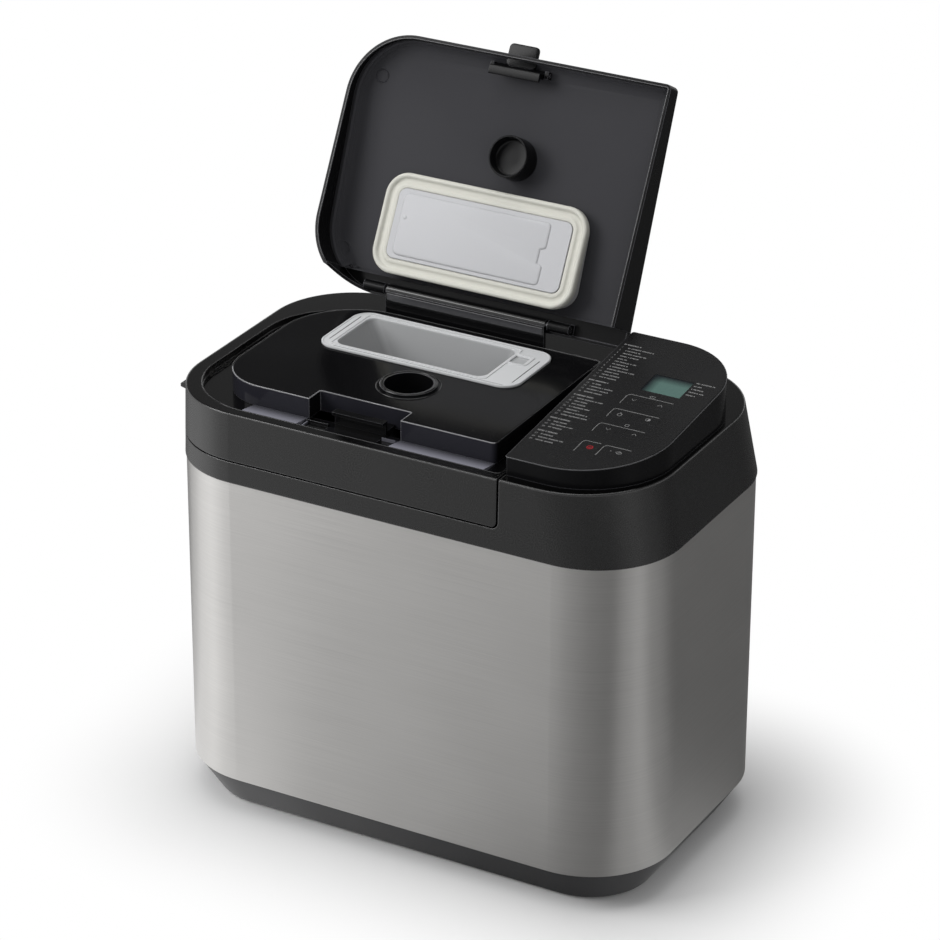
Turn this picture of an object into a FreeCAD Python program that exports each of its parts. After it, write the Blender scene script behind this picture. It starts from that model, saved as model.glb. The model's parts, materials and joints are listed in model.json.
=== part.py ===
import FreeCAD, Part
import os
import re
import Sketcher

# Bread machine with a main lid on the left, a sloping control panel on the right and a dispenser lid
# that stands open. Millimetres, X to the right, Y to the back, Z up, origin on the floor in the middle.

SIZES = {
    # casing outline
    "body_width": 400.0,
    "body_depth": 245.0,
    "body_corner": 67.6,
    "foot_height": 2.5,
    "foot_radius": 12.0,
    "foot_inset_x": 54.0,
    "foot_inset_y": 52.5,
    "base_top": 30.5,
    "base_inset": 19.0,
    "base_corner": 47.5,
    "base_wall": 3.0,
    "base_setback": 1.1,
    "post_inset_x": 72.0,
    "post_inset_y": 60.5,
    "post_radius": 7.0,
    "screw_radius": 2.0,
    "screw_head_radius": 4.0,
    "screw_head_height": 1.2,
    "screw_length": 14.0,
    "hole_clearance": 0.2,
    "steel_top": 280.0,
    "steel_gauge": 0.8,
    "steel_setback": 0.8,
    # fixed top frame
    "band_height": 16.4,
    "band_wall": 2.5,
    "frame_height": 38.6,
    "edge_lean": 1.5,
    "right_lean": 9.0,
    "block_corner": 74.0,
    "cut_x": 90.0,
    "cut_gap": 1.8,
    "cut_round": 4.0,
    "split_gap": 1.3,
    "edge_round": 1.2,
    # sloping control panel
    "panel_right": 187.0,
    "panel_front": -112.0,
    "panel_back": 82.5,
    "panel_rise": 15.0,
    "panel_slope": 0.0998,
    "panel_front_corner": 67.0,
    "panel_back_corner": 55.0,
    "panel_left_corner": 2.0,
    "panel_wall": 2.5,
    "film_thickness": 0.6,
    "film_margin": 0.7,
    "display_left": 134.0,
    "display_right": 164.5,
    "display_front": 9.0,
    "display_back": 33.0,
    "board_depth": 9.0,
    "board_thickness": 1.6,
    "board_left": 124.0,
    "board_right": 168.0,
    "board_front": -86.0,
    "board_back": 42.0,
    "board_post": 6.0,
    "key_width": 15.0,
    "key_length": 9.0,
    "key_height": 4.1,
    "key_gap": 0.2,
    "key_column_left": 137.4,
    "key_column_right": 158.6,
    "key_row_first": -7.0,
    "key_row_second": -28.0,
    "key_row_third": -50.0,
    "key_row_last": -77.0,
    "switch_size": 6.0,
    "switch_height": 4.4,
    # hinge of the main lid
    "hinge_reach": 5.0,
    "hinge_rise": 0.6,
    "knuckle_radius": 4.5,
    "knuckle_gap": 0.4,
    "hinge_left": -110.0,
    "hinge_right": 50.0,
    "knuckle_width": 18.0,
    "hinge_pin_radius": 2.0,
    "leaf_length": 14.0,
    "pin_fit": 0.06,
    # main lid frame, gutter and deck
    "ledge_thickness": 7.5,
    "gutter_depth": 5.0,
    "gutter_left": -187.0,
    "gutter_front": -112.0,
    "gutter_back": 84.0,
    "gutter_right": 85.5,
    "gutter_corner": 60.0,
    "deck_rise": 11.0,
    "deck_left": -165.0,
    "deck_right": 71.4,
    "deck_front": -91.0,
    "deck_back": 70.0,
    "deck_front_corner": 40.0,
    "deck_back_corner": 60.0,
    "deck_right_corner": 4.0,
    "deck_wall": 2.5,
    "notch_left": -82.0,
    "notch_right": -6.0,
    "notch_back": -75.0,
    "sill_left": -128.0,
    "sill_front_height": 4.0,
    "sill_back_height": 0.8,
    "sill_gap": 0.4,
    "vent_count": 6,
    "vent_pitch": 9.0,
    "vent_width": 3.0,
    "vent_length": 16.0,
    "vent_left": -60.0,
    "vent_front": 95.0,
    "tab_reach": 8.5,
    "tab_front": -66.0,
    "tab_length": 46.0,
    "tab_rise": 18.1,
    "tab_height": 10.0,
    "tab_edge": 2.5,
    "tab_seat": 0.9,
    # liner and seal under the main lid
    "liner_rise": 2.1,
    "liner_thickness": 1.5,
    "liner_gap": 0.6,
    "seal_gap": 0.3,
    "seal_width": 5.0,
    "seal_margin": 1.0,
    # dispenser bin, flap and yeast chamber
    "bin_x": -44.0,
    "bin_y": 26.5,
    "flange_width": 167.0,
    "flange_depth": 69.0,
    "flange_corner": 14.0,
    "flange_thickness": 1.5,
    "bin_mouth_left": 73.0,
    "bin_mouth_right": 57.0,
    "bin_mouth_half": 29.0,
    "bin_foot_left": 44.0,
    "bin_foot_right": 46.0,
    "bin_foot_half": 20.0,
    "bin_rise": 5.6,
    "bin_wall": 1.8,
    "bin_corner": 8.0,
    "window_offset": 63.5,
    "window_back": 13.0,
    "window_size": 12.0,
    "flap_thickness": 1.6,
    "flap_gap": 0.4,
    "flap_margin": 1.5,
    "flap_hinge_offset": 4.0,
    "flap_barrel": 1.7,
    "small_pin": 1.0,
    "lug_width": 3.0,
    "lug_gap": 0.4,
    "yeast_x": -30.7,
    "yeast_y": -36.5,
    "yeast_bore": 18.0,
    "yeast_wall": 1.4,
    "yeast_ring": 21.3,
    "yeast_ring_height": 2.0,
    "yeast_rise": 9.6,
    "valve_offset": 22.0,
    "valve_barrel_length": 12.0,
    "valve_hole": 28.0,
    "solenoid_length": 30.0,
    "solenoid_width": 24.0,
    "solenoid_height": 24.0,
    "flap_solenoid_x": 30.0,
    "flap_solenoid_y": 14.0,
    "yeast_solenoid_x": 8.0,
    "yeast_solenoid_y": -64.0,
    # dispenser lid, drawn closed and then swung open about its pin
    "cover_left": -175.0,
    "cover_right": 86.2,
    "cover_front": -111.0,
    "cover_back": 84.0,
    "rim_gap": 0.6,
    "cover_corner": 50.0,
    "cover_right_corner": 4.0,
    "cover_wall": 2.5,
    "cover_round": 2.0,
    "cover_rear_cut": 70.0,
    "rear_lip_rise": 4.0,
    "cover_hinge_y": 78.0,
    "cover_hinge_rise": 15.0,
    "cover_open": 118.2,
    "cover_pin_radius": 2.0,
    "rail_left": -114.0,
    "rail_right": 21.0,
    "rail_front": 73.5,
    "rail_wall": 3.5,
    "rail_barrel": 4.0,
    "cover_knuckle": 18.0,
    "cover_knuckle_gap": 2.0,
    "gasket_width": 170.0,
    "gasket_depth": 77.0,
    "gasket_corner": 18.0,
    "gasket_lift": 0.3,
    "gasket_thickness": 2.8,
    "gasket_land": 11.5,
    "gasket_skirt": 4.0,
    "gasket_skirt_wall": 2.0,
    "gasket_fit": 0.15,
    "gasket_shift": 1.5,
    "plate_recess": 1.0,
    "plate_fit": 0.3,
    "plug_radius": 14.2,
    "plug_wall": 1.7,
    "plug_reach": 9.0,
    "plug_floor": 4.0,
    # latch of the dispenser lid
    "latch_x": -40.5,
    "latch_pivot_y": -101.0,
    "latch_drop": 1.0,
    "latch_tab_width": 25.0,
    "latch_tab_reach": 9.0,
    "latch_tab_thickness": 2.4,
    "latch_width": 42.0,
    "latch_clearance": 4.5,
    "latch_toe": 3.0,
    "latch_toe_height": 2.5,
    "latch_leg": 4.0,
    "latch_lug": 3.0,
    "latch_lug_gap": 0.5,
    "latch_pin_radius": 1.5,
    "latch_eye": 3.0,
    "latch_slot_gap": 1.2,
    "catch_wall": 3.0,
    "catch_lip": 4.0,
    "catch_lip_thickness": 2.5,
    "catch_gap": 0.6,
    "catch_top_gap": 1.5,
    # oven, heater and pan
    "oven_x": -55.0,
    "oven_width": 220.0,
    "oven_depth": 200.0,
    "oven_corner": 24.0,
    "oven_sheet": 1.0,
    "oven_lip": 5.0,
    "chassis_bottom": 28.0,
    "chassis_thickness": 2.0,
    "chassis_inset": 12.0,
    "divider_gap": 7.0,
    "divider_thickness": 1.2,
    "heater_height": 62.0,
    "heater_radius": 3.5,
    "heater_margin": 9.0,
    "heater_bend": 22.0,
    "terminal_bend": 8.0,
    "terminal_spread": 40.0,
    "terminal_reach": 6.0,
    "clip_width": 8.0,
    "clip_cheek": 3.0,
    "sensor_radius": 3.0,
    "sensor_flange": 8.0,
    "sensor_flange_height": 3.0,
    "sensor_length": 12.0,
    "sensor_x": -100.0,
    "sensor_z": 120.0,
    "pan_width": 150.0,
    "pan_depth": 134.0,
    "pan_taper": 5.0,
    "pan_corner": 28.0,
    "pan_wall": 1.6,
    "pan_bottom": 52.0,
    "pan_top": 196.0,
    "pan_rim": 4.0,
    "pan_rim_height": 2.0,
    "pan_hub_radius": 9.0,
    "pan_hub_height": 10.0,
    "pan_ring_bottom": 33.0,
    "pan_ring_inner": 30.0,
    "pan_ring_outer": 37.5,
    "pan_lug_reach": 43.5,
    "pan_lug_width": 12.0,
    "pan_lug_height": 4.2,
    "pan_lug_gap": 0.4,
    "socket_height": 10.0,
    "socket_inner": 39.0,
    "socket_outer": 50.0,
    "hook_stem": 45.0,
    "hook_lip": 40.5,
    "hook_width": 14.0,
    "hook_height": 9.0,
    "hook_lip_height": 3.5,
    "hook_outer": 49.0,
    "ear_width": 4.0,
    "ear_depth": 14.0,
    "ear_height": 10.0,
    "handle_wire": 2.0,
    "handle_rise": 4.5,
    "handle_length": 66.0,
    "handle_fit": 0.1,
    # kneading drive
    "shaft_radius": 4.0,
    "shaft_bottom": 9.0,
    "shaft_fit": 0.08,
    "bush_radius": 6.95,
    "bush_fit": 0.05,
    "housing_radius": 10.0,
    "housing_flange": 20.0,
    "housing_flange_height": 2.5,
    "housing_bottom": 23.5,
    "housing_top": 40.0,
    "pulley_bottom": 11.5,
    "pulley_top": 22.0,
    "pulley_flange": 1.5,
    "pulley_flange_reach": 4.0,
    "large_pulley_radius": 41.0,
    "small_pulley_radius": 11.0,
    "belt_thickness": 2.2,
    "belt_gap": 0.3,
    "motor_inset": 70.0,
    "motor_radius": 36.0,
    "motor_height": 88.0,
    "motor_flange": 44.0,
    "motor_flange_height": 4.0,
    "motor_bore_depth": 40.0,
    "blade_hub_radius": 9.5,
    "blade_hub_height": 28.0,
    "blade_gap": 1.0,
    "blade_cap": 4.0,
    "blade_reach": 52.0,
    "blade_thickness": 6.0,
    "blade_height": 24.0,
    # electrical pieces
    "power_board_left": 75.0,
    "power_board_width": 92.0,
    "power_board_y": 84.0,
    "power_board_height": 150.0,
    "transformer_x": 95.0,
    "transformer_z": 60.0,
    "transformer_width": 45.0,
    "transformer_depth": 30.0,
    "transformer_height": 50.0,
    "gland_x": 110.0,
    "gland_z": 60.0,
    "gland_radius": 8.0,
    "gland_flange": 11.0,
    "gland_flange_height": 3.5,
    "gland_length": 8.0,
}

# Sizes that follow from others, so that the pieces keep together
TIED = {
    "foot_x": "body_width / 2 - foot_inset_x",
    "foot_y": "body_depth / 2 - foot_inset_y",
    "post_x": "body_width / 2 - post_inset_x",
    "post_y": "body_depth / 2 - post_inset_y",
    "band_top": "steel_top + band_height",
    "frame_top": "band_top + frame_height",
    "panel_front_top": "frame_top + panel_rise",
    "hinge_back": "body_depth / 2 + hinge_reach",
    "hinge_height": "band_top + hinge_rise",
    "gutter_floor": "frame_top - gutter_depth",
    "deck_top": "frame_top + deck_rise",
    "tab_low": "band_top + tab_rise",
    "tab_high": "tab_low + tab_height",
    "liner_bottom": "band_top + liner_rise",
    "bin_bottom": "band_top + bin_rise",
    "yeast_bottom": "band_top + yeast_rise",
    "cover_rim": "frame_top + rim_gap",
    "cover_hinge_z": "deck_top + cover_hinge_rise",
    "cover_rear_lip": "cover_hinge_z + rear_lip_rise",
    "plug_bottom": "deck_top - plug_reach",
    "latch_pivot_z": "deck_top - latch_drop",
    "latch_bottom": "gutter_floor + latch_clearance",
    "motor_x": "body_width / 2 - motor_inset",
}

FAR = 600
EXTRA = 60

doc = FreeCAD.newDocument("bread_machine")
sheet = doc.addObject("Spreadsheet::Sheet", "dims")
cells = {alias: str(value) for alias, value in SIZES.items()}
cells.update({alias: "=" + formula for alias, formula in TIED.items()})
for row, (alias, content) in enumerate(cells.items(), start=1):
    sheet.set("A%d" % row, alias)
    sheet.setAlias("B%d" % row, alias)
    sheet.set("B%d" % row, content)
doc.recompute()

NODES = {}
WORD = re.compile(r"[a-z][a-z_]*")
X_AXIS = FreeCAD.Vector(1, 0, 0)
Y_AXIS = FreeCAD.Vector(0, 1, 0)
Z_AXIS = FreeCAD.Vector(0, 0, 1)


def sized(text):
    """Write a formula of size names as an expression on the sheet."""
    return WORD.sub(lambda m: "dims." + m.group(0) if m.group(0) in cells else m.group(0), str(text))


def num(text):
    """Present value of a formula."""
    value = sheet.evalExpression(sized(text))
    return float(getattr(value, "Value", value))


def bind(thing, prop, text):
    thing.setExpression(prop, sized(text))


def node(name, thing):
    """Name a finished sub-part."""
    thing.Label = name
    NODES[name] = thing
    return thing


# Sketches and sketched solids

def sketch(body, plane, offset):
    drawing = body.newObject("Sketcher::SketchObject", body.Name + "_sketch")
    support = [f for f in body.Origin.OriginFeatures if f.Role == plane][0]
    drawing.AttachmentSupport = [(support, "")]
    drawing.MapMode = "FlatFace"
    bind(drawing, "AttachmentOffset.Base.z", offset)
    return drawing


def dimension(drawing, kind, formula, *places):
    index = drawing.addConstraint(Sketcher.Constraint(kind, *places, num(formula)))
    bind(drawing, "Constraints[%d]" % index, formula)


def polygon(body, points, plane="XY_Plane", offset="0"):
    """Closed outline through corners given as pairs of formulas."""
    drawing = sketch(body, plane, offset)
    corners = [FreeCAD.Vector(num(x), num(y), 0) for x, y in points]
    count = len(corners)
    for i in range(count):
        drawing.addGeometry(Part.LineSegment(corners[i], corners[(i + 1) % count]))
    for i in range(count):
        drawing.addConstraint(Sketcher.Constraint("Coincident", i, 2, (i + 1) % count, 1))
    for i, (x, y) in enumerate(points):
        dimension(drawing, "DistanceX", x, -1, 1, i, 1)
        dimension(drawing, "DistanceY", y, -1, 1, i, 1)
    return drawing


def rounded(body, x0, x1, y0, y1, radii, plane="XY_Plane", offset="0"):
    """Rectangle with four rounded corners: low-left, low-right, high-right, high-left radii."""
    if isinstance(radii, str):
        radii = [radii] * 4
    drawing = sketch(body, plane, offset)
    left, right, low, high = num(x0), num(x1), num(y0), num(y1)
    r = [num(radius) for radius in radii]
    turn = 1.5707963267948966
    centres = [(left + r[0], low + r[0]), (right - r[1], low + r[1]),
               (right - r[2], high - r[2]), (left + r[3], high - r[3])]
    lines = [((left + r[0], low), (right - r[1], low)), ((right, low + r[1]), (right, high - r[2])),
             ((right - r[2], high), (left + r[3], high)), ((left, high - r[3]), (left, low + r[0]))]
    for start, end in lines:
        drawing.addGeometry(Part.LineSegment(FreeCAD.Vector(*start, 0), FreeCAD.Vector(*end, 0)))
    for i, (cx, cy) in enumerate(centres):
        circle = Part.Circle(FreeCAD.Vector(cx, cy, 0), Z_AXIS, r[i])
        drawing.addGeometry(Part.ArcOfCircle(circle, (i + 2) * turn, (i + 3) * turn))
    for i in range(4):
        drawing.addConstraint(Sketcher.Constraint("Tangent", 4 + i, 2, i, 1))
        drawing.addConstraint(Sketcher.Constraint("Tangent", i, 2, 4 + (i + 1) % 4, 1))
    for line, way in enumerate(("Horizontal", "Vertical", "Horizontal", "Vertical")):
        drawing.addConstraint(Sketcher.Constraint(way, line))
    dimension(drawing, "DistanceY", y0, -1, 1, 0, 1)
    dimension(drawing, "DistanceX", x1, -1, 1, 1, 1)
    dimension(drawing, "DistanceY", y1, -1, 1, 2, 1)
    dimension(drawing, "DistanceX", x0, -1, 1, 3, 1)
    for i, radius in enumerate(radii):
        dimension(drawing, "Radius", radius, 4 + i)
    return drawing


def pad(body, drawing, length, symmetric=False):
    feature = body.newObject("PartDesign::Pad", body.Name + "_pad")
    feature.Profile = drawing
    bind(feature, "Length", length)
    if symmetric:
        feature.SideType = "Symmetric"
    body.Tip = feature
    return body


def new_body(name):
    return doc.addObject("PartDesign::Body", name)


def plate(name, x0, x1, y0, y1, z0, z1, radii):
    """Upright prism on a rounded rectangle."""
    body = new_body(name)
    drawing = rounded(body, x0, x1, y0, y1, radii, offset=z0)
    return pad(body, drawing, "(%s) - (%s)" % (z1, z0))


def loft(name, low, high):
    """Straight-sided solid between two rounded rectangles, each (x0, x1, y0, y1, radii, z)."""
    body = new_body(name)
    sections = [rounded(body, *section[:5], offset=section[5]) for section in (low, high)]
    feature = body.newObject("PartDesign::AdditiveLoft", name + "_loft")
    feature.Profile = sections[0]
    feature.Sections = [sections[1]]
    feature.Ruled = True
    body.Tip = feature
    return body


def extrusion(name, points, plane, x0, x1):
    """Prism of a polygon in the YZ plane, carried along X from x0 to x1."""
    body = new_body(name)
    drawing = polygon(body, points, plane, x0)
    return pad(body, drawing, "(%s) - (%s)" % (x1, x0))


# Primitive solids and booleans

def place(thing, x, y, z):
    bind(thing, "Placement.Base.x", x)
    bind(thing, "Placement.Base.y", y)
    bind(thing, "Placement.Base.z", z)


def block(name, x0, x1, y0, y1, z0, z1):
    box = doc.addObject("Part::Box", name)
    for prop, low, high in (("Length", x0, x1), ("Width", y0, y1), ("Height", z0, z1)):
        bind(box, prop, "(%s) - (%s)" % (high, low))
    place(box, x0, y0, z0)
    return box


def rod(name, axis, x, y, z, radius, length):
    """Cylinder from a start point along +X, +Y or +Z."""
    cylinder = doc.addObject("Part::Cylinder", name)
    cylinder.Placement = FreeCAD.Placement(FreeCAD.Vector(), FreeCAD.Rotation(Z_AXIS, axis))
    bind(cylinder, "Radius", radius)
    bind(cylinder, "Height", length)
    place(cylinder, x, y, z)
    return cylinder


def fuse(name, *things):
    union = doc.addObject("Part::MultiFuse", name)
    union.Shapes = list(things)
    union.Refine = True
    return union


def cut(name, base, *tools):
    tool = tools[0] if len(tools) == 1 else fuse(name + "_tools", *tools)
    result = doc.addObject("Part::Cut", name)
    result.Base = base
    result.Tool = tool
    return result


def common(name, first, second):
    result = doc.addObject("Part::Common", name)
    result.Base = first
    result.Tool = second
    return result


def group(name, *things):
    compound = doc.addObject("Part::Compound", name)
    compound.Links = list(things)
    return compound


def round_edges(name, base, radius, wanted):
    """Round the edges that a test picks out."""
    doc.recompute()
    size = num(radius)
    fillet = doc.addObject("Part::Fillet", name)
    fillet.Base = base
    fillet.Edges = [(i, size, size) for i, edge in enumerate(base.Shape.Edges, start=1) if wanted(edge)]
    return fillet


def lies_at(height):
    """Test for edges that lie wholly at one height."""
    level = num(height)
    return lambda edge: abs(edge.BoundBox.ZMin - level) < 1e-4 and abs(edge.BoundBox.ZMax - level) < 1e-4


# The sloping plane that the panel and the closed dispenser lid share

def slope_at(y, drop="0"):
    return "panel_front_top + ((%s) - panel_front) * panel_slope - (%s)" % (y, drop)


def above_slope(name, drop):
    """Everything above the sloping plane, lowered by drop."""
    near = "panel_front - %d" % EXTRA
    far = "panel_back + %d" % EXTRA
    high = "panel_front_top + %d" % (2 * EXTRA)
    points = [(near, slope_at(near, drop)), (far, slope_at(far, drop)), (far, high), (near, high)]
    return extrusion(name, points, "YZ_Plane", "-%d" % FAR, "%d" % FAR)


def on_slope(thing, x, y, depth):
    """Turn a piece into the sloping plane, its corner at x and y, depth beneath the plane."""
    thing.Placement = FreeCAD.Placement(FreeCAD.Vector(), FreeCAD.Rotation(X_AXIS, 0))
    bind(thing, "Placement.Rotation.Angle", "atan(panel_slope)")
    place(thing, x, "(%s) + (%s) * sin(atan(panel_slope))" % (y, depth),
          slope_at(y) + " - (%s) * cos(atan(panel_slope))" % depth)
    return thing


def slope_block(name, x0, x1, y0, y1, deep, shallow):
    """Block square to the sloping plane, between two depths beneath it."""
    box = doc.addObject("Part::Box", name)
    bind(box, "Length", "(%s) - (%s)" % (x1, x0))
    bind(box, "Width", "((%s) - (%s)) / cos(atan(panel_slope))" % (y1, y0))
    bind(box, "Height", "(%s) - (%s)" % (deep, shallow))
    return on_slope(box, x0, y0, deep)


def swing_open(thing):
    """Turn a piece of the dispenser lid from closed to open about its pin."""
    thing.Placement = FreeCAD.Placement(FreeCAD.Vector(), FreeCAD.Rotation(X_AXIS, -1))
    bind(thing, "Placement.Rotation.Angle", "-cover_open * 1 deg")
    swing = "cover_open * 1 deg"
    place(thing, "0", "cover_hinge_y - cover_hinge_y * cos(%s) - cover_hinge_z * sin(%s)" % (swing, swing),
          "cover_hinge_z + cover_hinge_y * sin(%s) - cover_hinge_z * cos(%s)" % (swing, swing))
    return thing


# Formulas used in more than one place

BASE_FLOOR = "foot_height + base_wall"
CHASSIS_TOP = "chassis_bottom + chassis_thickness"
BAND_PLATE = "band_top - band_wall"
OVEN_LEFT = "oven_x - oven_width / 2"
OVEN_RIGHT = "oven_x + oven_width / 2"
OVEN_BACK = "oven_depth / 2"
OVEN_FLOOR = CHASSIS_TOP + " + oven_sheet"
LINER_TOP = "liner_bottom + liner_thickness"
LID_RIGHT = "cut_x - cut_gap"
LID_BOTTOM = "band_top + split_gap"
LEDGE_BOTTOM = "frame_top - ledge_thickness"
FLANGE_TOP = "deck_top + flange_thickness"
FLAP_TOP = "bin_bottom - flap_gap"
FLAP_AXIS_Y = "bin_y + bin_foot_half + flap_hinge_offset"
FLAP_AXIS_Z = FLAP_TOP + " - flap_thickness / 2"
FLAP_LEFT = "bin_x - bin_foot_left - flap_margin"
FLAP_RIGHT = "bin_x + bin_foot_right + flap_margin"
VALVE_TOP = "yeast_bottom - flap_gap"
VALVE_AXIS_Y = "yeast_y + valve_offset"
VALVE_AXIS_Z = VALVE_TOP + " - flap_thickness / 2"
YEAST_OUTER = "yeast_bore + yeast_wall"
GASKET_BOTTOM = FLANGE_TOP + " + gasket_lift"
CARRIER_BOTTOM = GASKET_BOTTOM + " + gasket_thickness"
GASKET_Y = "bin_y + gasket_shift"
SHAFT_TOP = "pan_bottom + pan_wall + pan_hub_height + blade_gap + blade_hub_height - blade_cap"


def casing_outline(inset, z):
    """Rounded outline of the casing, set in by inset."""
    half_x = "(body_width / 2 - (%s))" % inset
    half_y = "(body_depth / 2 - (%s))" % inset
    return ("-" + half_x, half_x, "-" + half_y, half_y, "body_corner - (%s)" % inset, z)


def top_outline(inset, z):
    """Upper outline of the black band: it leans in, most of all on the right."""
    lean = "edge_lean + (%s)" % inset
    left_round = "body_corner - (%s)" % lean
    right_round = "block_corner - (%s)" % lean
    return ("-(body_width / 2 - (%s))" % lean, "body_width / 2 - right_lean - (%s)" % inset,
            "-(body_depth / 2 - (%s))" % lean, "body_depth / 2 - (%s)" % lean,
            [left_round, right_round, right_round, left_round], z)


def band_solid(name):
    """Leaning band, its upper edge eased in two steps."""
    ease = "0.3 * edge_round"
    steps = [casing_outline("0", "steel_top"), top_outline("0", "frame_top - edge_round"),
             top_outline(ease, "frame_top - " + ease), top_outline("edge_round", "frame_top")]
    return fuse(name, *[loft("%s_%d" % (name, i), steps[i], steps[i + 1]) for i in range(3)])


# Base, feet and chassis

def base_skirt():
    top_inset = "base_setback"
    outside = loft("base_outside", casing_outline("base_inset", "foot_height")[:4] + ("base_corner",
                                                                                      "foot_height"),
                   casing_outline(top_inset, "base_top"))
    floor = casing_outline("base_inset + base_wall", BASE_FLOOR)[:4] + ("base_corner - base_wall",
                                                                        BASE_FLOOR)
    inside = loft("base_inside", floor, casing_outline(top_inset + " + base_wall", "base_top"))
    posts = []
    holes = []
    for i, (sx, sy) in enumerate(((-1, -1), (1, -1), (1, 1), (-1, 1))):
        x = "%d * post_x" % sx
        y = "%d * post_y" % sy
        height = "chassis_bottom - (%s)" % BASE_FLOOR
        posts.append(rod("base_post_%d" % i, Z_AXIS, x, y, BASE_FLOOR, "post_radius", height))
        holes.append(rod("base_hole_%d" % i, Z_AXIS, x, y, "foot_height", "screw_radius + hole_clearance",
                         "screw_length + hole_clearance"))
    tray = cut("base_tray", outside, inside)
    node("base_skirt", cut("base_drilled", fuse("base_posted", tray, *posts), *holes))


def rubber_feet():
    feet = [rod("foot_%d" % i, Z_AXIS, "%d * foot_x" % sx, "%d * foot_y" % sy, "0", "foot_radius",
                "foot_height")
            for i, (sx, sy) in enumerate(((-1, -1), (1, -1), (1, 1), (-1, 1)))]
    node("rubber_feet", group("feet_group", *feet))


def base_screws():
    screws = []
    for i, (sx, sy) in enumerate(((-1, -1), (1, -1), (1, 1), (-1, 1))):
        x = "%d * post_x" % sx
        y = "%d * post_y" % sy
        head = rod("screw_head_%d" % i, Z_AXIS, x, y, "foot_height - screw_head_height",
                   "screw_head_radius", "screw_head_height")
        shank = rod("screw_shank_%d" % i, Z_AXIS, x, y, "foot_height", "screw_radius", "screw_length")
        screws.append(fuse("screw_%d" % i, head, shank))
    node("base_screws", group("screw_group", *screws))


def chassis_plate():
    sheet_plate = plate("chassis_sheet", *casing_outline("chassis_inset", "")[:4], "chassis_bottom",
                        CHASSIS_TOP, "body_corner - chassis_inset")
    depth = "chassis_thickness"
    bearing_hole = rod("chassis_bearing_hole", Z_AXIS, "oven_x", "0", "chassis_bottom",
                       "housing_radius + hole_clearance", depth)
    motor_hole = rod("chassis_motor_hole", Z_AXIS, "motor_x", "0", "chassis_bottom",
                     "shaft_radius + 2 * shaft_fit + hole_clearance", depth)
    node("chassis_plate", cut("chassis_drilled", sheet_plate, bearing_hole, motor_hole))


def steel_wrap():
    outside = plate("steel_outside", *casing_outline("steel_setback", "")[:4], "base_top", "steel_top",
                    "body_corner - steel_setback")
    inner = "steel_setback + steel_gauge"
    inside = plate("steel_inside", *casing_outline(inner, "")[:4], "base_top", "steel_top",
                   "body_corner - (%s)" % inner)
    gland_hole = rod("steel_gland_hole", Y_AXIS, "gland_x", "0", "gland_z", "gland_radius + hole_clearance",
                     "body_depth")
    node("steel_wrap", cut("steel_sleeve", outside, inside, gland_hole))


def cord_gland():
    face = "body_depth / 2 - steel_setback"
    barrel = rod("gland_barrel", Y_AXIS, "gland_x", face + " - gland_length", "gland_z", "gland_radius",
                 "gland_length")
    flange = rod("gland_collar", Y_AXIS, "gland_x", face, "gland_z", "gland_flange", "gland_flange_height")
    node("cord_gland", fuse("gland_piece", barrel, flange))


# Fixed top frame and the main lid frame are cut from the same leaning band

def knuckle(name, x, width, bore, leaf_low, leaf_high):
    """Barrel on the main hinge axis with the leaf that ties it to the wall in front of it."""
    barrel = rod(name + "_barrel", X_AXIS, x, "hinge_back", "hinge_height", "knuckle_radius", width)
    leaf = block(name + "_leaf", x, "(%s) + (%s)" % (x, width), "body_depth / 2 - edge_lean", "hinge_back",
                 leaf_low, leaf_high)
    hole = rod(name + "_hole", X_AXIS, x, "hinge_back", "hinge_height", bore, width)
    return fuse(name, barrel, leaf), hole


def lid_space(name, right, low, corner):
    """Room of the main lid: all that is left of right and above low, its lower right corner rounded."""
    body = new_body(name)
    drawing = rounded(body, "-body_width", right, low, "frame_top + %d" % (2 * EXTRA), corner, "XZ_Plane")
    return pad(body, drawing, "3 * body_depth", symmetric=True)


def top_frame():
    outside = band_solid("band_outside")
    inside = loft("band_inside", casing_outline("band_wall", "steel_top"),
                  top_outline("band_wall", "frame_top"))
    low_room = block("band_low_room", "-body_width", "body_width", "-body_depth", "body_depth", "0",
                     BAND_PLATE)
    block_room = block("band_block_room", "cut_x + band_wall", "body_width", "-body_depth", "body_depth",
                       "0", "frame_top - band_wall")
    hollow = common("band_hollow", inside, fuse("band_rooms", low_room, block_room))
    mouth = plate("band_mouth", OVEN_LEFT + " + oven_lip", OVEN_RIGHT + " - oven_lip",
                  "-(%s) + oven_lip" % OVEN_BACK, OVEN_BACK + " - oven_lip", BAND_PLATE, "band_top",
                  "oven_corner - oven_lip")
    room = lid_space("band_lid_room", "cut_x", "band_top", "cut_round + cut_gap")
    frame = cut("band_frame", outside, room, hollow, mouth)
    leaves = []
    holes = []
    for side, x in (("left", "hinge_left"), ("right", "hinge_right")):
        piece, hole = knuckle("fixed_knuckle_" + side, x, "knuckle_width", "hinge_pin_radius",
                              "hinge_height - leaf_length", "band_top")
        leaves.append(cut("fixed_leaf_" + side, piece, outside_of_band))
        holes.append(hole)
    node("top_frame", cut("band_drilled", fuse("band_with_leaves", frame, *leaves), *holes))


def lid_hinge_pins():
    length = "2 * knuckle_width + knuckle_gap"
    pins = [rod("lid_pin_" + side, X_AXIS, x, "hinge_back", "hinge_height", "hinge_pin_radius", length)
            for side, x in (("left", "hinge_left"), ("right", "hinge_right"))]
    node("lid_hinge_pins", group("lid_pin_group", *pins))


def deck_prism(name, inset, low, high):
    corner = "deck_front_corner - (%s)" % inset
    rear = "deck_back_corner - (%s)" % inset
    return plate(name, "deck_left + (%s)" % inset, "deck_right - (%s)" % inset, "deck_front + (%s)" % inset,
                 "deck_back - (%s)" % inset, low, high,
                 [corner, "deck_right_corner", "deck_right_corner", rear])


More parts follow.
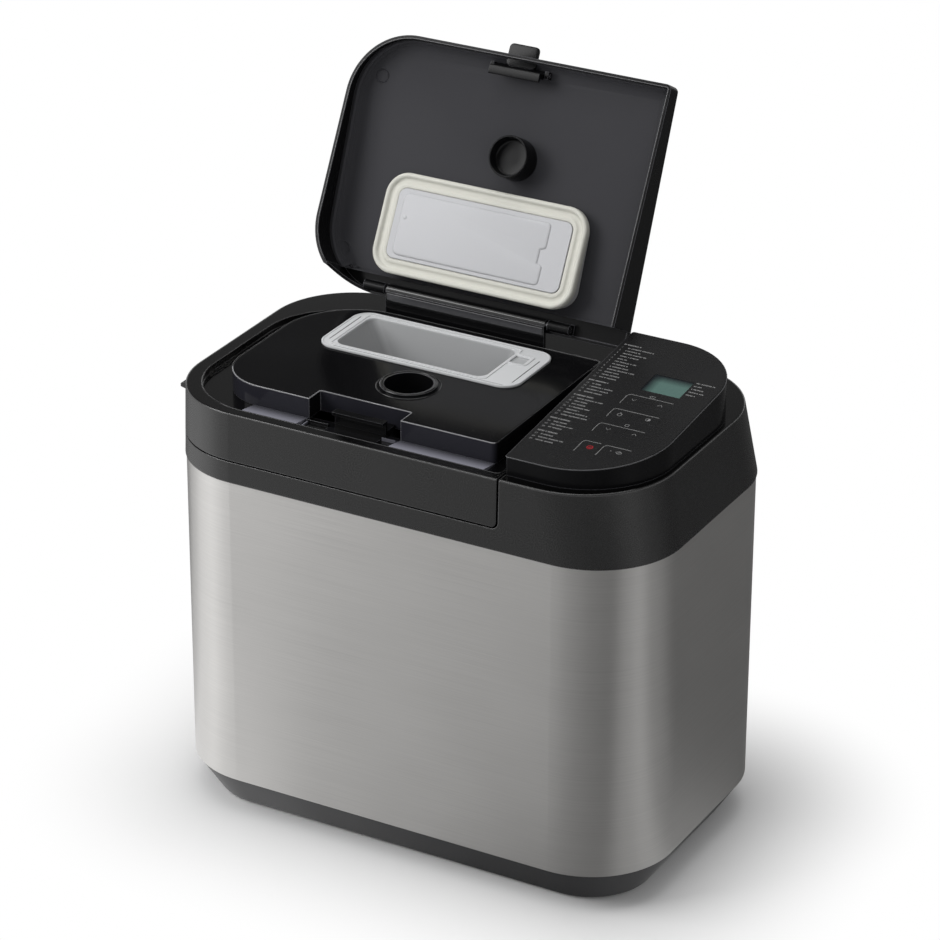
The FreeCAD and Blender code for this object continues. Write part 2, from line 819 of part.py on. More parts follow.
def lid_frame():
    kept = common("lid_kept", band_solid("lid_outside"),
                  lid_space("lid_room", LID_RIGHT, LID_BOTTOM, "cut_round"))
    inside = loft("lid_inside", casing_outline("band_wall", "steel_top"),
                  top_outline("band_wall", "frame_top"))
    room = block("lid_under_room", "-body_width", LID_RIGHT + " - band_wall", "-body_depth", "body_depth",
                 "0", LEDGE_BOTTOM)
    hollow = common("lid_hollow", inside, room)
    gutter = plate("lid_gutter", "gutter_left", "gutter_right", "gutter_front", "gutter_back",
                   "gutter_floor", "frame_top",
                   ["gutter_corner", "deck_right_corner", "deck_right_corner", "gutter_corner"])
    well = deck_prism("lid_well", "deck_wall + sill_gap", LEDGE_BOTTOM, "gutter_floor")
    vents = [block("vent_%d" % i, "vent_left + %d * vent_pitch" % i,
                   "vent_left + %d * vent_pitch + vent_width" % i, "vent_front", "vent_front + vent_length",
                   LEDGE_BOTTOM, "frame_top") for i in range(int(SIZES["vent_count"]))]
    frame = cut("lid_shell_frame", kept, hollow, gutter, well, *vents)
    leaves = []
    holes = []
    for side, x in (("left", "hinge_left"), ("right", "hinge_right")):
        start = "%s + knuckle_width + knuckle_gap" % x
        piece, hole = knuckle("lid_knuckle_" + side, start, "knuckle_width", "hinge_pin_radius + pin_fit",
                              LID_BOTTOM, "hinge_height + leaf_length")
        leaves.append(cut("lid_leaf_" + side, piece, outside_of_band))
        holes.append(hole)
    node("lid_frame", cut("lid_drilled", fuse("lid_with_leaves", frame, *leaves), *holes))


def lid_deck():
    top = round_edges("deck_rounded", deck_prism("deck_outside", "0", "gutter_floor", "deck_top"),
                      "edge_round", lies_at("deck_top"))
    notch = block("deck_notch", "notch_left", "notch_right", "deck_front - deck_wall", "notch_back",
                  "gutter_floor", "deck_top")
    inside = deck_prism("deck_inside", "deck_wall", "gutter_floor", "deck_top - deck_wall")
    notch_walls = block("deck_notch_walls", "notch_left - deck_wall", "notch_right + deck_wall",
                        "deck_front - deck_wall", "notch_back + deck_wall", "gutter_floor", "deck_top")
    hollow = cut("deck_hollow", inside, notch_walls)
    bin_hole = bin_loft("deck_bin_hole", "-lug_gap")
    yeast_hole = rod("deck_yeast_hole", Z_AXIS, "yeast_x", "yeast_y", "gutter_floor",
                     YEAST_OUTER + " + lug_gap", "deck_top - gutter_floor")
    node("lid_deck", cut("deck_cut", top, notch, hollow, bin_hole, yeast_hole))


def front_sill():
    """Sloping strips at the foot of the deck's front wall, left and right of the latch notch."""
    near = "gutter_front + sill_gap"
    far = "deck_front - sill_gap"
    points = [(near, "gutter_floor"), (far, "gutter_floor"), (far, "gutter_floor + sill_back_height"),
              (near, "gutter_floor + sill_front_height")]
    left = extrusion("sill_left_strip", points, "YZ_Plane", "sill_left", "notch_left - sill_gap")
    right = extrusion("sill_right_strip", points, "YZ_Plane", "notch_right + sill_gap",
                      "deck_right - sill_gap")
    node("front_sill", group("sill_group", left, right))


def hinge_rail():
    length = "rail_right - rail_left"
    wall = block("rail_web", "rail_left", "rail_right", "rail_front", "rail_front + rail_wall",
                 "gutter_floor", "cover_hinge_z")
    barrel = rod("rail_tube", X_AXIS, "rail_left", "cover_hinge_y", "cover_hinge_z", "rail_barrel", length)
    hole = rod("rail_hole", X_AXIS, "rail_left", "cover_hinge_y", "cover_hinge_z",
               "cover_pin_radius + pin_fit", length)
    node("hinge_rail", cut("rail_drilled", fuse("rail_piece", wall, barrel), hole))


def lift_tab():
    """Finger lip on the left side of the main lid, thicker at its root than at its edge."""
    root = "-(body_width / 2 - tab_seat)"
    tip = "-(body_width / 2 + tab_reach)"
    points = [(root, "tab_low"), (root, "tab_high"), (tip, "tab_low + 2 * tab_edge"),
              (tip, "tab_low + tab_edge")]
    body = new_body("tab_wedge")
    drawing = polygon(body, points, "XZ_Plane", "-(tab_front + tab_length)")
    node("lift_tab", pad(body, drawing, "tab_length"))


def lid_liner():
    edge = "band_wall + edge_lean + liner_gap"
    left = "-(body_width / 2 - (%s))" % edge
    half = "body_depth / 2 - (%s)" % edge
    round_left = "body_corner - (%s)" % edge
    panel = plate("liner_sheet", left, LID_RIGHT + " - band_wall - liner_gap", "-(%s)" % half, half,
                  "liner_bottom", LINER_TOP, [round_left, "cut_round", "cut_round", round_left])
    clear = "lug_width + 2 * lug_gap"
    flap_hole = block("liner_flap_hole", FLAP_LEFT + " - (%s)" % clear, FLAP_RIGHT + " + (%s)" % clear,
                      "bin_y - bin_foot_half - flap_margin - lug_width",
                      FLAP_AXIS_Y + " + lug_width + lug_gap", "liner_bottom", LINER_TOP)
    valve_hole = rod("liner_valve_hole", Z_AXIS, "yeast_x", "yeast_y + lug_width", "liner_bottom",
                     "valve_hole", "liner_thickness")
    node("lid_liner", cut("liner_cut", panel, flap_hole, valve_hole))


def lid_seal():
    def ring(name, out):
        return plate(name, OVEN_LEFT + " + oven_lip - (%s)" % out, OVEN_RIGHT + " - oven_lip + (%s)" % out,
                     "-(%s) + oven_lip - (%s)" % (OVEN_BACK, out), OVEN_BACK + " - oven_lip + (%s)" % out,
                     "band_top + seal_gap", "liner_bottom", "oven_corner - oven_lip + (%s)" % out)
    node("lid_seal", cut("seal_ring", ring("seal_outside", "seal_margin + seal_width"),
                         ring("seal_inside", "seal_margin")))


# Dispenser bin with its flap, yeast chamber with its valve

def bin_loft(name, inset):
    mouth = ("bin_x - bin_mouth_left + (%s)" % inset, "bin_x + bin_mouth_right - (%s)" % inset,
             "bin_y - bin_mouth_half + (%s)" % inset, "bin_y + bin_mouth_half - (%s)" % inset, "bin_corner",
             "deck_top")
    foot = ("bin_x - bin_foot_left + (%s)" % inset, "bin_x + bin_foot_right - (%s)" % inset,
            "bin_y - bin_foot_half + (%s)" % inset, "bin_y + bin_foot_half - (%s)" % inset, "bin_corner",
            "bin_bottom")
    return loft(name, foot, mouth)


def lug_pair(name, x0, x1, y0, y1, z0, z1, axis_y, axis_z):
    """Two lugs outside x0 and x1 that carry a small pin, and the pin's hole through them."""
    left = block(name + "_left", "(%s) - lug_gap - lug_width" % x0, "(%s) - lug_gap" % x0, y0, y1, z0, z1)
    right = block(name + "_right", "(%s) + lug_gap" % x1, "(%s) + lug_gap + lug_width" % x1, y0, y1, z0, z1)
    return left, right, small_pin(name + "_hole", x0, x1, axis_y, axis_z)


def small_pin(name, x0, x1, axis_y, axis_z):
    start = "(%s) - lug_gap - lug_width" % x0
    return rod(name, X_AXIS, start, axis_y, axis_z, "small_pin",
               "(%s) - (%s) + 2 * lug_gap + 2 * lug_width" % (x1, x0))


def dispenser_box():
    half_x = "flange_width / 2"
    half_y = "flange_depth / 2"
    flange = plate("bin_flange", "bin_x - " + half_x, "bin_x + " + half_x, "bin_y - " + half_y,
                   "bin_y + " + half_y, "deck_top", FLANGE_TOP, "flange_corner")
    outside = bin_loft("bin_outside", "0")
    inside = bin_loft("bin_inside", "bin_wall")
    mouth = plate("bin_mouth", "bin_x - bin_mouth_left + bin_wall", "bin_x + bin_mouth_right - bin_wall",
                  "bin_y - bin_mouth_half + bin_wall", "bin_y + bin_mouth_half - bin_wall", "deck_top",
                  FLANGE_TOP, "bin_corner")
    window = block("bin_window", "bin_x + window_offset - window_size / 2",
                   "bin_x + window_offset + window_size / 2",
                   "bin_y + window_back - window_size / 2", "bin_y + window_back + window_size / 2",
                   "deck_top", FLANGE_TOP)
    left, right, hole = lug_pair("bin_lug", FLAP_LEFT, FLAP_RIGHT, "bin_y + bin_foot_half - bin_wall",
                                 FLAP_AXIS_Y + " + lug_width", FLAP_AXIS_Z + " - lug_width",
                                 "bin_bottom + 4 * lug_width", FLAP_AXIS_Y, FLAP_AXIS_Z)
    walls = fuse("bin_walls", flange, outside, left, right)
    node("dispenser_box", cut("bin_cut", walls, inside, mouth, window, hole))


def hinged_leaf(name, shape, x0, x1, front, axis_y, axis_z):
    """Thin leaf on a small barrel, bored for its pin."""
    arm = block(name + "_arm", x0, x1, front, axis_y, "(%s) - flap_thickness / 2" % axis_z,
                "(%s) + flap_thickness / 2" % axis_z)
    length = "(%s) - (%s)" % (x1, x0)
    barrel = rod(name + "_barrel", X_AXIS, x0, axis_y, axis_z, "flap_barrel", length)
    hole = rod(name + "_bore", X_AXIS, x0, axis_y, axis_z, "small_pin + pin_fit", length)
    return cut(name, fuse(name + "_leaf", shape, arm, barrel), hole)


def dispenser_flap():
    front = "bin_y - bin_foot_half - flap_margin"
    leaf = block("flap_sheet", FLAP_LEFT, FLAP_RIGHT, front, FLAP_AXIS_Y,
                 FLAP_TOP + " - flap_thickness", FLAP_TOP)
    node("dispenser_flap", hinged_leaf("flap_piece", leaf, FLAP_LEFT, FLAP_RIGHT,
                                       FLAP_AXIS_Y + " - flap_hinge_offset", FLAP_AXIS_Y, FLAP_AXIS_Z))


def yeast_chamber():
    height = "deck_top - yeast_bottom"
    wall = rod("yeast_outside", Z_AXIS, "yeast_x", "yeast_y", "yeast_bottom", YEAST_OUTER, height)
    ring = rod("yeast_rim", Z_AXIS, "yeast_x", "yeast_y", "deck_top", "yeast_ring", "yeast_ring_height")
    bore = rod("yeast_bore_tool", Z_AXIS, "yeast_x", "yeast_y", "yeast_bottom", "yeast_bore",
               height + " + yeast_ring_height")
    x0 = "yeast_x - valve_barrel_length / 2"
    x1 = "yeast_x + valve_barrel_length / 2"
    left, right, hole = lug_pair("yeast_lug", x0, x1, "yeast_y + yeast_bore - lug_width",
                                 VALVE_AXIS_Y + " + lug_width", VALVE_AXIS_Z + " - lug_width",
                                 "yeast_bottom + 4 * lug_width", VALVE_AXIS_Y, VALVE_AXIS_Z)
    below = block("yeast_lug_relief", "yeast_x - yeast_ring", "yeast_x + yeast_ring",
                  "yeast_y - yeast_ring",
                  VALVE_AXIS_Y + " - 2 * small_pin", VALVE_AXIS_Z + " - lug_width", "yeast_bottom")
    body = fuse("yeast_body", wall, ring, cut("yeast_lugs", fuse("yeast_lug_bars", left, right), below))
    node("yeast_chamber", cut("yeast_cut", body, bore, hole))


def yeast_valve():
    disc = rod("valve_disc", Z_AXIS, "yeast_x", "yeast_y", VALVE_TOP + " - flap_thickness", YEAST_OUTER,
               "flap_thickness")
    x0 = "yeast_x - valve_barrel_length / 2"
    x1 = "yeast_x + valve_barrel_length / 2"
    node("yeast_valve", hinged_leaf("valve_piece", disc, x0, x1, "yeast_y", VALVE_AXIS_Y, VALVE_AXIS_Z))


def dispenser_pins():
    flap = small_pin("flap_pin", FLAP_LEFT, FLAP_RIGHT, FLAP_AXIS_Y, FLAP_AXIS_Z)
    valve = small_pin("valve_pin", "yeast_x - valve_barrel_length / 2", "yeast_x + valve_barrel_length / 2",
                      VALVE_AXIS_Y, VALVE_AXIS_Z)
    node("dispenser_pins", group("small_pin_group", flap, valve))


def lid_solenoids():
    coils = [block(name, x, x + " + solenoid_length", y, y + " + solenoid_width", LINER_TOP,
                   LINER_TOP + " + solenoid_height")
             for name, x, y in (("flap_coil", "flap_solenoid_x", "flap_solenoid_y"),
                                ("yeast_coil", "yeast_solenoid_x", "yeast_solenoid_y"))]
    node("lid_solenoids", group("coil_group", *coils))


def latch_catch():
    """Upright in the notch with a lip that the latch toe clears."""
    lip_front = "latch_pivot_y + latch_leg + latch_toe + catch_gap"
    wall_front = lip_front + " + catch_lip"
    top = "latch_bottom + latch_toe_height + catch_top_gap + catch_lip_thickness"
    half = "latch_width / 2"
    wall = block("catch_upright", "latch_x - " + half, "latch_x + " + half, wall_front,
                 wall_front + " + catch_wall", "gutter_floor", top)
    lip = block("catch_tooth", "latch_x - " + half, "latch_x + " + half, lip_front, wall_front,
                top + " - catch_lip_thickness", top)
    foot = block("catch_foot", "latch_x - " + half, "latch_x + " + half, wall_front, "notch_back",
                 "gutter_floor", "gutter_floor + catch_wall")
    node("latch_catch", fuse("catch_piece", wall, lip, foot))


# Dispenser lid

def cover_prism(name, inset, low, high):
    left_round = "cover_corner - (%s)" % inset
    right_round = "cover_right_corner - (%s)" % inset
    return plate(name, "cover_left + (%s)" % inset, "cover_right - (%s)" % inset,
                 "cover_front + (%s)" % inset,
                 "cover_back - (%s)" % inset, low, high, [left_round, right_round, right_round, left_round])


def under_cover(name, solid):
    """Trim a piece to the underside of the closed dispenser lid."""
    return cut(name, solid, above_slope(name + "_ceiling", "cover_wall"))


def cover_shell():
    tall = "panel_front_top + %d" % EXTRA
    wedge = cut("cover_wedge", cover_prism("cover_outside", "0", "cover_rim", tall),
                above_slope("cover_top", "0"))
    low = num(slope_at("cover_front"))
    outer = round_edges("cover_rounded", wedge, "cover_round", lambda edge: edge.BoundBox.ZMin > low - 1e-3)
    inside = under_cover("cover_inside", cover_prism("cover_room", "cover_wall", "cover_rim", tall))
    rear = block("cover_rear_room", "cover_left", "cover_right", "cover_rear_cut", "cover_back",
                 "cover_rim", "cover_rear_lip")
    slot = block("cover_latch_slot", "latch_x - latch_tab_width / 2 - latch_slot_gap",
                 "latch_x + latch_tab_width / 2 + latch_slot_gap", "cover_front",
                 "cover_front + cover_wall", "latch_pivot_z - latch_tab_thickness - 2 * latch_slot_gap",
                 "latch_pivot_z + 2 * latch_slot_gap")
    hull = cut("cover_hull", outer, inside, rear, slot)
    bosses = []
    holes = []
    for side, x in (("left", "rail_left - cover_knuckle_gap - cover_knuckle"),
                    ("right", "rail_right + cover_knuckle_gap")):
        web = block("cover_web_" + side, x, x + " + cover_knuckle", "cover_hinge_y - rail_barrel",
                    "cover_hinge_y + rail_barrel", "cover_hinge_z", tall)
        barrel = rod("cover_barrel_" + side, X_AXIS, x, "cover_hinge_y", "cover_hinge_z", "rail_barrel",
                     "cover_knuckle")
        bosses.append(under_cover("cover_boss_" + side, fuse("cover_knuckle_" + side, web, barrel)))
        holes.append(rod("cover_hole_" + side, X_AXIS, x, "cover_hinge_y", "cover_hinge_z",
                         "cover_pin_radius", "cover_knuckle"))
    half = "latch_width / 2 + latch_lug_gap"
    for side, x in (("left", "latch_x - (%s) - latch_lug" % half), ("right", "latch_x + %s" % half)):
        lug = block("latch_lug_" + side, x, x + " + latch_lug", "latch_pivot_y - latch_eye",
                    "latch_pivot_y + latch_eye", "latch_pivot_z - latch_eye", tall)
        bosses.append(under_cover("latch_ear_" + side, lug))
        holes.append(rod("latch_hole_" + side, X_AXIS, x, "latch_pivot_y", "latch_pivot_z",
                         "latch_pin_radius", "latch_lug"))
    shell = cut("cover_drilled", fuse("cover_with_bosses", hull, *bosses), *holes)
    node("dispenser_lid_shell", swing_open(shell))


def gasket_prism(name, inset, low, high):
    half_x = "(gasket_width / 2 - (%s))" % inset
    half_y = "(gasket_depth / 2 - (%s))" % inset
    return plate(name, "bin_x - " + half_x, "bin_x + " + half_x, GASKET_Y + " - " + half_y,
                 GASKET_Y + " + " + half_y, low, high, "gasket_corner - (%s)" % inset)


def lid_gasket():
    outside = gasket_prism("gasket_outside", "0", GASKET_BOTTOM, CARRIER_BOTTOM + " + gasket_skirt")
    inside = gasket_prism("gasket_inside", "gasket_land", GASKET_BOTTOM, CARRIER_BOTTOM)
    seat = gasket_prism("gasket_seat", "gasket_skirt_wall", CARRIER_BOTTOM,
                        CARRIER_BOTTOM + " + gasket_skirt")
    node("lid_gasket", swing_open(cut("gasket_ring", outside, inside, seat)))


def gasket_carrier():
    tall = "panel_front_top + %d" % EXTRA
    core = gasket_prism("carrier_block", "gasket_skirt_wall + gasket_fit", CARRIER_BOTTOM, tall)
    node("gasket_carrier", swing_open(under_cover("carrier_piece", core)))


def cover_plate():
    body = gasket_prism("cover_plate_sheet", "gasket_land + plate_fit", GASKET_BOTTOM + " + plate_recess",
                        CARRIER_BOTTOM)
    node("cover_plate", swing_open(body))


def yeast_plug():
    tall = "panel_front_top + %d" % EXTRA
    outside = rod("plug_outside", Z_AXIS, "yeast_x", "yeast_y", "plug_bottom", "plug_radius",
                  tall + " - plug_bottom")
    bore = rod("plug_bore", Z_AXIS, "yeast_x", "yeast_y", "plug_bottom", "plug_radius - plug_wall",
               slope_at("yeast_y", "cover_wall + plug_floor") + " - plug_bottom")
    node("yeast_plug", swing_open(cut("plug_cup", under_cover("plug_body", outside), bore)))


def lid_latch():
    """Lever with a finger tab through the front of the lid and a leg with a toe inside it."""
    half = "latch_width / 2"
    x0 = "latch_x - " + half
    x1 = "latch_x + " + half
    eye = rod("latch_barrel", X_AXIS, x0, "latch_pivot_y", "latch_pivot_z", "latch_eye", "latch_width")
    leg = block("latch_leg_plate", x0, x1, "latch_pivot_y", "latch_pivot_y + latch_leg", "latch_bottom",
                "latch_pivot_z")
    toe = block("latch_toe_bar", x0, x1, "latch_pivot_y + latch_leg",
                "latch_pivot_y + latch_leg + latch_toe", "latch_bottom", "latch_bottom + latch_toe_height")
    tab = block("latch_finger", "latch_x - latch_tab_width / 2", "latch_x + latch_tab_width / 2",
                "cover_front - latch_tab_reach", "latch_pivot_y", "latch_pivot_z - latch_tab_thickness",
                "latch_pivot_z")
    hole = rod("latch_eye_hole", X_AXIS, x0, "latch_pivot_y", "latch_pivot_z", "latch_pin_radius + pin_fit",
               "latch_width")
    node("lid_latch", swing_open(cut("latch_piece", fuse("latch_lever", eye, leg, toe, tab), hole)))


def cover_pins():
    """Long pin of the dispenser lid's hinge and short pin of its latch."""
    start = "rail_left - cover_knuckle_gap - cover_knuckle"
    length = "rail_right - rail_left + 2 * cover_knuckle_gap + 2 * cover_knuckle"
    hinge = rod("cover_pin_rod", X_AXIS, start, "cover_hinge_y", "cover_hinge_z", "cover_pin_radius",
                length)
    half = "(latch_width / 2 + latch_lug_gap + latch_lug)"
    pivot = rod("latch_pin_rod", X_AXIS, "latch_x - " + half, "latch_pivot_y", "latch_pivot_z",
                "latch_pin_radius", "2 * " + half)
    swung = swing_open(group("latch_pin_piece", pivot))
    node("dispenser_lid_pins", group("cover_pin_group", hinge, swung))


# Control panel

def panel_prism(name, inset, low, high):
    left_round = "panel_left_corner"
    return plate(name, "cut_x + (%s)" % inset, "panel_right - (%s)" % inset, "panel_front + (%s)" % inset,
                 "panel_back - (%s)" % inset, low, high,
                 [left_round, "panel_front_corner - (%s)" % inset, "panel_back_corner - (%s)" % inset,
                  left_round])


KEYS = {
    "key_down_upper": ("key_column_left", "key_row_first"),
    "key_up_upper": ("key_column_right", "key_row_first"),
    "key_loaf_size": ("key_column_left", "key_row_second"),
    "key_crust": ("key_column_right", "key_row_second"),
    "key_down_lower": ("key_column_left", "key_row_third"),
    "key_up_lower": ("key_column_right", "key_row_third"),
    "key_stop": ("key_column_left", "key_row_last"),
    "key_start": ("key_column_right", "key_row_last"),
}


def key_block(name, column, row, grow, deep, shallow):
    half_x = "(key_width / 2 + (%s))" % grow
    half_y = "(key_length / 2 + (%s))" % grow
    return slope_block(name, "%s - %s" % (column, half_x), "%s + %s" % (column, half_x),
                       "%s - %s" % (row, half_y), "%s + %s" % (row, half_y), deep, shallow)


def panel_openings(prefix):
    """Key holes and display window through the panel's top."""
    deep = "key_height + panel_wall"
    tools = [key_block(prefix + name, column, row, "key_gap", deep, "-panel_wall")
             for name, (column, row) in KEYS.items()]
    tools.append(slope_block(prefix + "display", "display_left - key_gap", "display_right + key_gap",
                             "display_front - key_gap", "display_back + key_gap", deep, "-panel_wall"))
    return tools


def panel_housing():
    tall = "panel_front_top + %d" % EXTRA
    outside = cut("panel_outside", panel_prism("panel_solid", "0", "frame_top", tall),
                  above_slope("panel_top", "film_thickness"))
    inside = cut("panel_inside", panel_prism("panel_room", "panel_wall", "frame_top", tall),
                 above_slope("panel_ceiling", "film_thickness + panel_wall"))
    post_top = "film_thickness + panel_wall / 2"
    posts = []
    for i, x in enumerate(("board_left", "board_right - board_post")):
        for j, y in enumerate(("board_front", "board_back - board_post")):
            posts.append(slope_block("board_post_%d%d" % (i, j), x, x + " + board_post", y,
                                     y + " + board_post", "board_depth", post_top))
    shell = cut("panel_shell", outside, inside)
    node("panel_housing",
         cut("panel_cut", fuse("panel_posted", shell, *posts), *panel_openings("housing_")))


def panel_film():
    tall = "panel_front_top + %d" % EXTRA
    prism = panel_prism("film_prism", "film_margin", "frame_top", tall)
    below = above_slope("film_over", "0")
    layer = common("film_layer", cut("film_top", prism, below), above_slope("film_under", "film_thickness"))
    node("panel_film", cut("film_cut", layer, *panel_openings("film_")))


def display_module():
    node("display_module", slope_block("display_block", "display_left", "display_right", "display_front",
                                       "display_back", "board_depth", "key_gap"))


def key_board():
    node("key_board", slope_block("board_sheet", "board_left", "board_right", "board_front", "board_back",
                                  "board_depth + board_thickness", "board_depth"))


def key_switches():
    half = "switch_size / 2"
    top = "board_depth - switch_height"
    switches = [slope_block("switch_" + name, "%s - %s" % (column, half), "%s + %s" % (column, half),
                            "%s - %s" % (row, half), "%s + %s" % (row, half), "board_depth", top)
                for name, (column, row) in KEYS.items()]
    node("key_switches", group("switch_group", *switches))


def keys():
    for name, (column, row) in KEYS.items():
        node(name, key_block(name + "_cap", column, row, "0", "key_height", "0"))


# Oven, heater and sensor

def oven_prism(name, inset, low, high):
    return plate(name, OVEN_LEFT + " + (%s)" % inset, OVEN_RIGHT + " - (%s)" % inset,
                 "-(%s) + (%s)" % (OVEN_BACK, inset), OVEN_BACK + " - (%s)" % inset, low, high,
                 "oven_corner - (%s)" % inset)


def oven_chamber():
    outside = oven_prism("oven_outside", "0", CHASSIS_TOP, BAND_PLATE)
    inside = oven_prism("oven_inside", "oven_sheet", OVEN_FLOOR, BAND_PLATE)
    bearing_hole = rod("oven_bearing_hole", Z_AXIS, "oven_x", "0", CHASSIS_TOP,
                       "housing_radius + hole_clearance", "oven_sheet")
    holes = [rod("oven_terminal_hole_%d" % i, X_AXIS, OVEN_RIGHT + " - oven_lip", y, "heater_height",
                 "heater_radius + hole_clearance", "2 * oven_lip")
             for i, y in enumerate(("-terminal_spread", "terminal_spread"))]
    node("oven_chamber", cut("oven_box", outside, inside, bearing_hole, *holes))


def divider_plate():
    left = OVEN_RIGHT + " + divider_gap"
    sheet_plate = block("divider_sheet", left, left + " + divider_thickness", "-(%s)" % OVEN_BACK,
                        OVEN_BACK, CHASSIS_TOP, BAND_PLATE)
    holes = [rod("divider_terminal_hole_%d" % i, X_AXIS, left, y, "heater_height",
                 "heater_radius + hole_clearance", "divider_thickness")
             for i, y in enumerate(("-terminal_spread", "terminal_spread"))]
    node("divider_plate", cut("divider_cut", sheet_plate, *holes))


def bend(name, x, y, radius, start):
    """Quarter turn of the heater tube about a point, from a start angle."""
    torus = doc.addObject("Part::Torus", name)
    torus.Angle3 = 90
    torus.Placement = FreeCAD.Placement(FreeCAD.Vector(), FreeCAD.Rotation(Z_AXIS, start))
    bind(torus, "Radius1", radius)
    bind(torus, "Radius2", "heater_radius")
    place(torus, x, y, "heater_height")
    return torus


def heater_element():
    half_x = "(oven_width / 2 - oven_sheet - heater_margin)"
    half_y = "(oven_depth / 2 - oven_sheet - heater_margin)"
    side_x = "(%s - heater_bend)" % half_x
    side_y = "(%s - heater_bend)" % half_y
    turn_y = "(terminal_spread + terminal_bend)"
    z = "heater_height"
    r = "heater_radius"
    run = "2 * " + side_x
    pieces = [bend("heater_bend_0", "oven_x - " + side_x, "-" + side_y, "heater_bend", 180),
              bend("heater_bend_1", "oven_x + " + side_x, "-" + side_y, "heater_bend", 270),
              bend("heater_bend_2", "oven_x + " + side_x, side_y, "heater_bend", 0),
              bend("heater_bend_3", "oven_x - " + side_x, side_y, "heater_bend", 90),
              rod("heater_front", X_AXIS, "oven_x - " + side_x, "-" + half_y, z, r, run),
              rod("heater_back", X_AXIS, "oven_x - " + side_x, half_y, z, r, run),
              rod("heater_left", Y_AXIS, "oven_x - " + half_x, "-" + side_y, z, r, "2 * " + side_y),
              rod("heater_right_front", Y_AXIS, "oven_x + " + half_x, "-" + side_y, z, r,
                  side_y + " - " + turn_y),
              rod("heater_right_back", Y_AXIS, "oven_x + " + half_x, turn_y, z, r, side_y + " - " + turn_y)]
    end_x = "oven_x + %s + terminal_bend" % half_x
    reach = OVEN_RIGHT + " + divider_gap + terminal_reach - (%s)" % end_x
    pieces.append(bend("terminal_bend_front", end_x, "-" + turn_y, "terminal_bend", 90))
    pieces.append(bend("terminal_bend_back", end_x, turn_y, "terminal_bend", 180))
    pieces.append(rod("terminal_front", X_AXIS, end_x, "-terminal_spread", z, r, reach))
    pieces.append(rod("terminal_back", X_AXIS, end_x, "terminal_spread", z, r, reach))
    node("heater_element", fuse("heater_loop", *pieces))


def heater_clips():
    """Blocks on the left, front and back walls of the oven that the tube passes through."""
    low = "heater_height - heater_radius - clip_cheek"
    high = "heater_height + heater_radius + clip_cheek"
    depth = "heater_margin + heater_radius + clip_cheek"
    half = "clip_width / 2"
    bore = "heater_radius + hole_clearance"
    wall_x = OVEN_LEFT + " + oven_sheet"
    wall_y = OVEN_BACK + " - oven_sheet"
    tube_y = wall_y + " - heater_margin"
    left = cut("clip_left", block("clip_left_block", wall_x, wall_x + " + " + depth, "-" + half, half, low,
                                  high),
               rod("clip_left_bore", Y_AXIS, wall_x + " + heater_margin", "-" + half, "heater_height", bore,
                   "clip_width"))
    clips = [left]
    for side, y0, y1, centre in (("front", "-(%s)" % wall_y, "-(%s) + %s" % (wall_y, depth),
                                  "-(%s)" % tube_y),
                                 ("back", "%s - (%s)" % (wall_y, depth), wall_y, tube_y)):
        solid = block("clip_%s_block" % side, "oven_x - " + half, "oven_x + " + half, y0, y1, low, high)
        hole = rod("clip_%s_bore" % side, X_AXIS, "oven_x - " + half, centre, "heater_height", bore,
                   "clip_width")
        clips.append(cut("clip_" + side, solid, hole))
    node("heater_clips", group("clip_group", *clips))


def temperature_sensor():
    wall = OVEN_BACK + " - oven_sheet"
    flange = rod("sensor_collar", Y_AXIS, "sensor_x", wall + " - sensor_flange_height", "sensor_z",
                 "sensor_flange", "sensor_flange_height")
    probe = rod("sensor_probe", Y_AXIS, "sensor_x", wall + " - sensor_flange_height - sensor_length",
                "sensor_z", "sensor_radius", "sensor_length")
    node("temperature_sensor", fuse("sensor_piece", flange, probe))


# Kneading drive

def turned(name, x, radius, low, high):
    return rod(name, Z_AXIS, x, "0", low, radius, "(%s) - (%s)" % (high, low))


def bearing_housing():
    body = turned("housing_body", "oven_x", "housing_radius", "housing_bottom", "housing_top")
    flange = turned("housing_collar", "oven_x", "housing_flange", "chassis_bottom - housing_flange_height",
                    "chassis_bottom")
    bore = turned("housing_bore", "oven_x", "bush_radius + bush_fit", "housing_bottom", "housing_top")
    node("bearing_housing", cut("housing_piece", fuse("housing_solid", body, flange), bore))


def shaft_bush():
    body = turned("bush_body", "oven_x", "bush_radius", "housing_bottom", "housing_top")
    bore = turned("bush_bore", "oven_x", "shaft_radius + shaft_fit", "housing_bottom", "housing_top")
    node("shaft_bush", cut("bush_piece", body, bore))


def drive_shaft():
    node("drive_shaft", turned("shaft_rod", "oven_x", "shaft_radius", "shaft_bottom", SHAFT_TOP))


def pulley(name, x, drum):
    """Drum between two flanges."""
    reach = drum + " + pulley_flange_reach"
    core = turned(name + "_drum", x, drum, "pulley_bottom", "pulley_top")
    low = turned(name + "_low", x, reach, "pulley_bottom", "pulley_bottom + pulley_flange")
    high = turned(name + "_high", x, reach, "pulley_top - pulley_flange", "pulley_top")
    return fuse(name, core, low, high)


def large_pulley():
    bore = turned("large_bore", "oven_x", "shaft_radius + bush_fit", "pulley_bottom", "pulley_top")
    node("large_pulley", cut("large_pulley_bored", pulley("large_pulley_solid", "oven_x",
                                                          "large_pulley_radius"), bore))


def motor_pulley():
    shaft = turned("motor_shaft", "motor_x", "shaft_radius", "pulley_bottom",
                   CHASSIS_TOP + " + motor_bore_depth - hole_clearance")
    node("motor_pulley", fuse("motor_rotor", pulley("small_pulley", "motor_x", "small_pulley_radius"),
                              shaft))


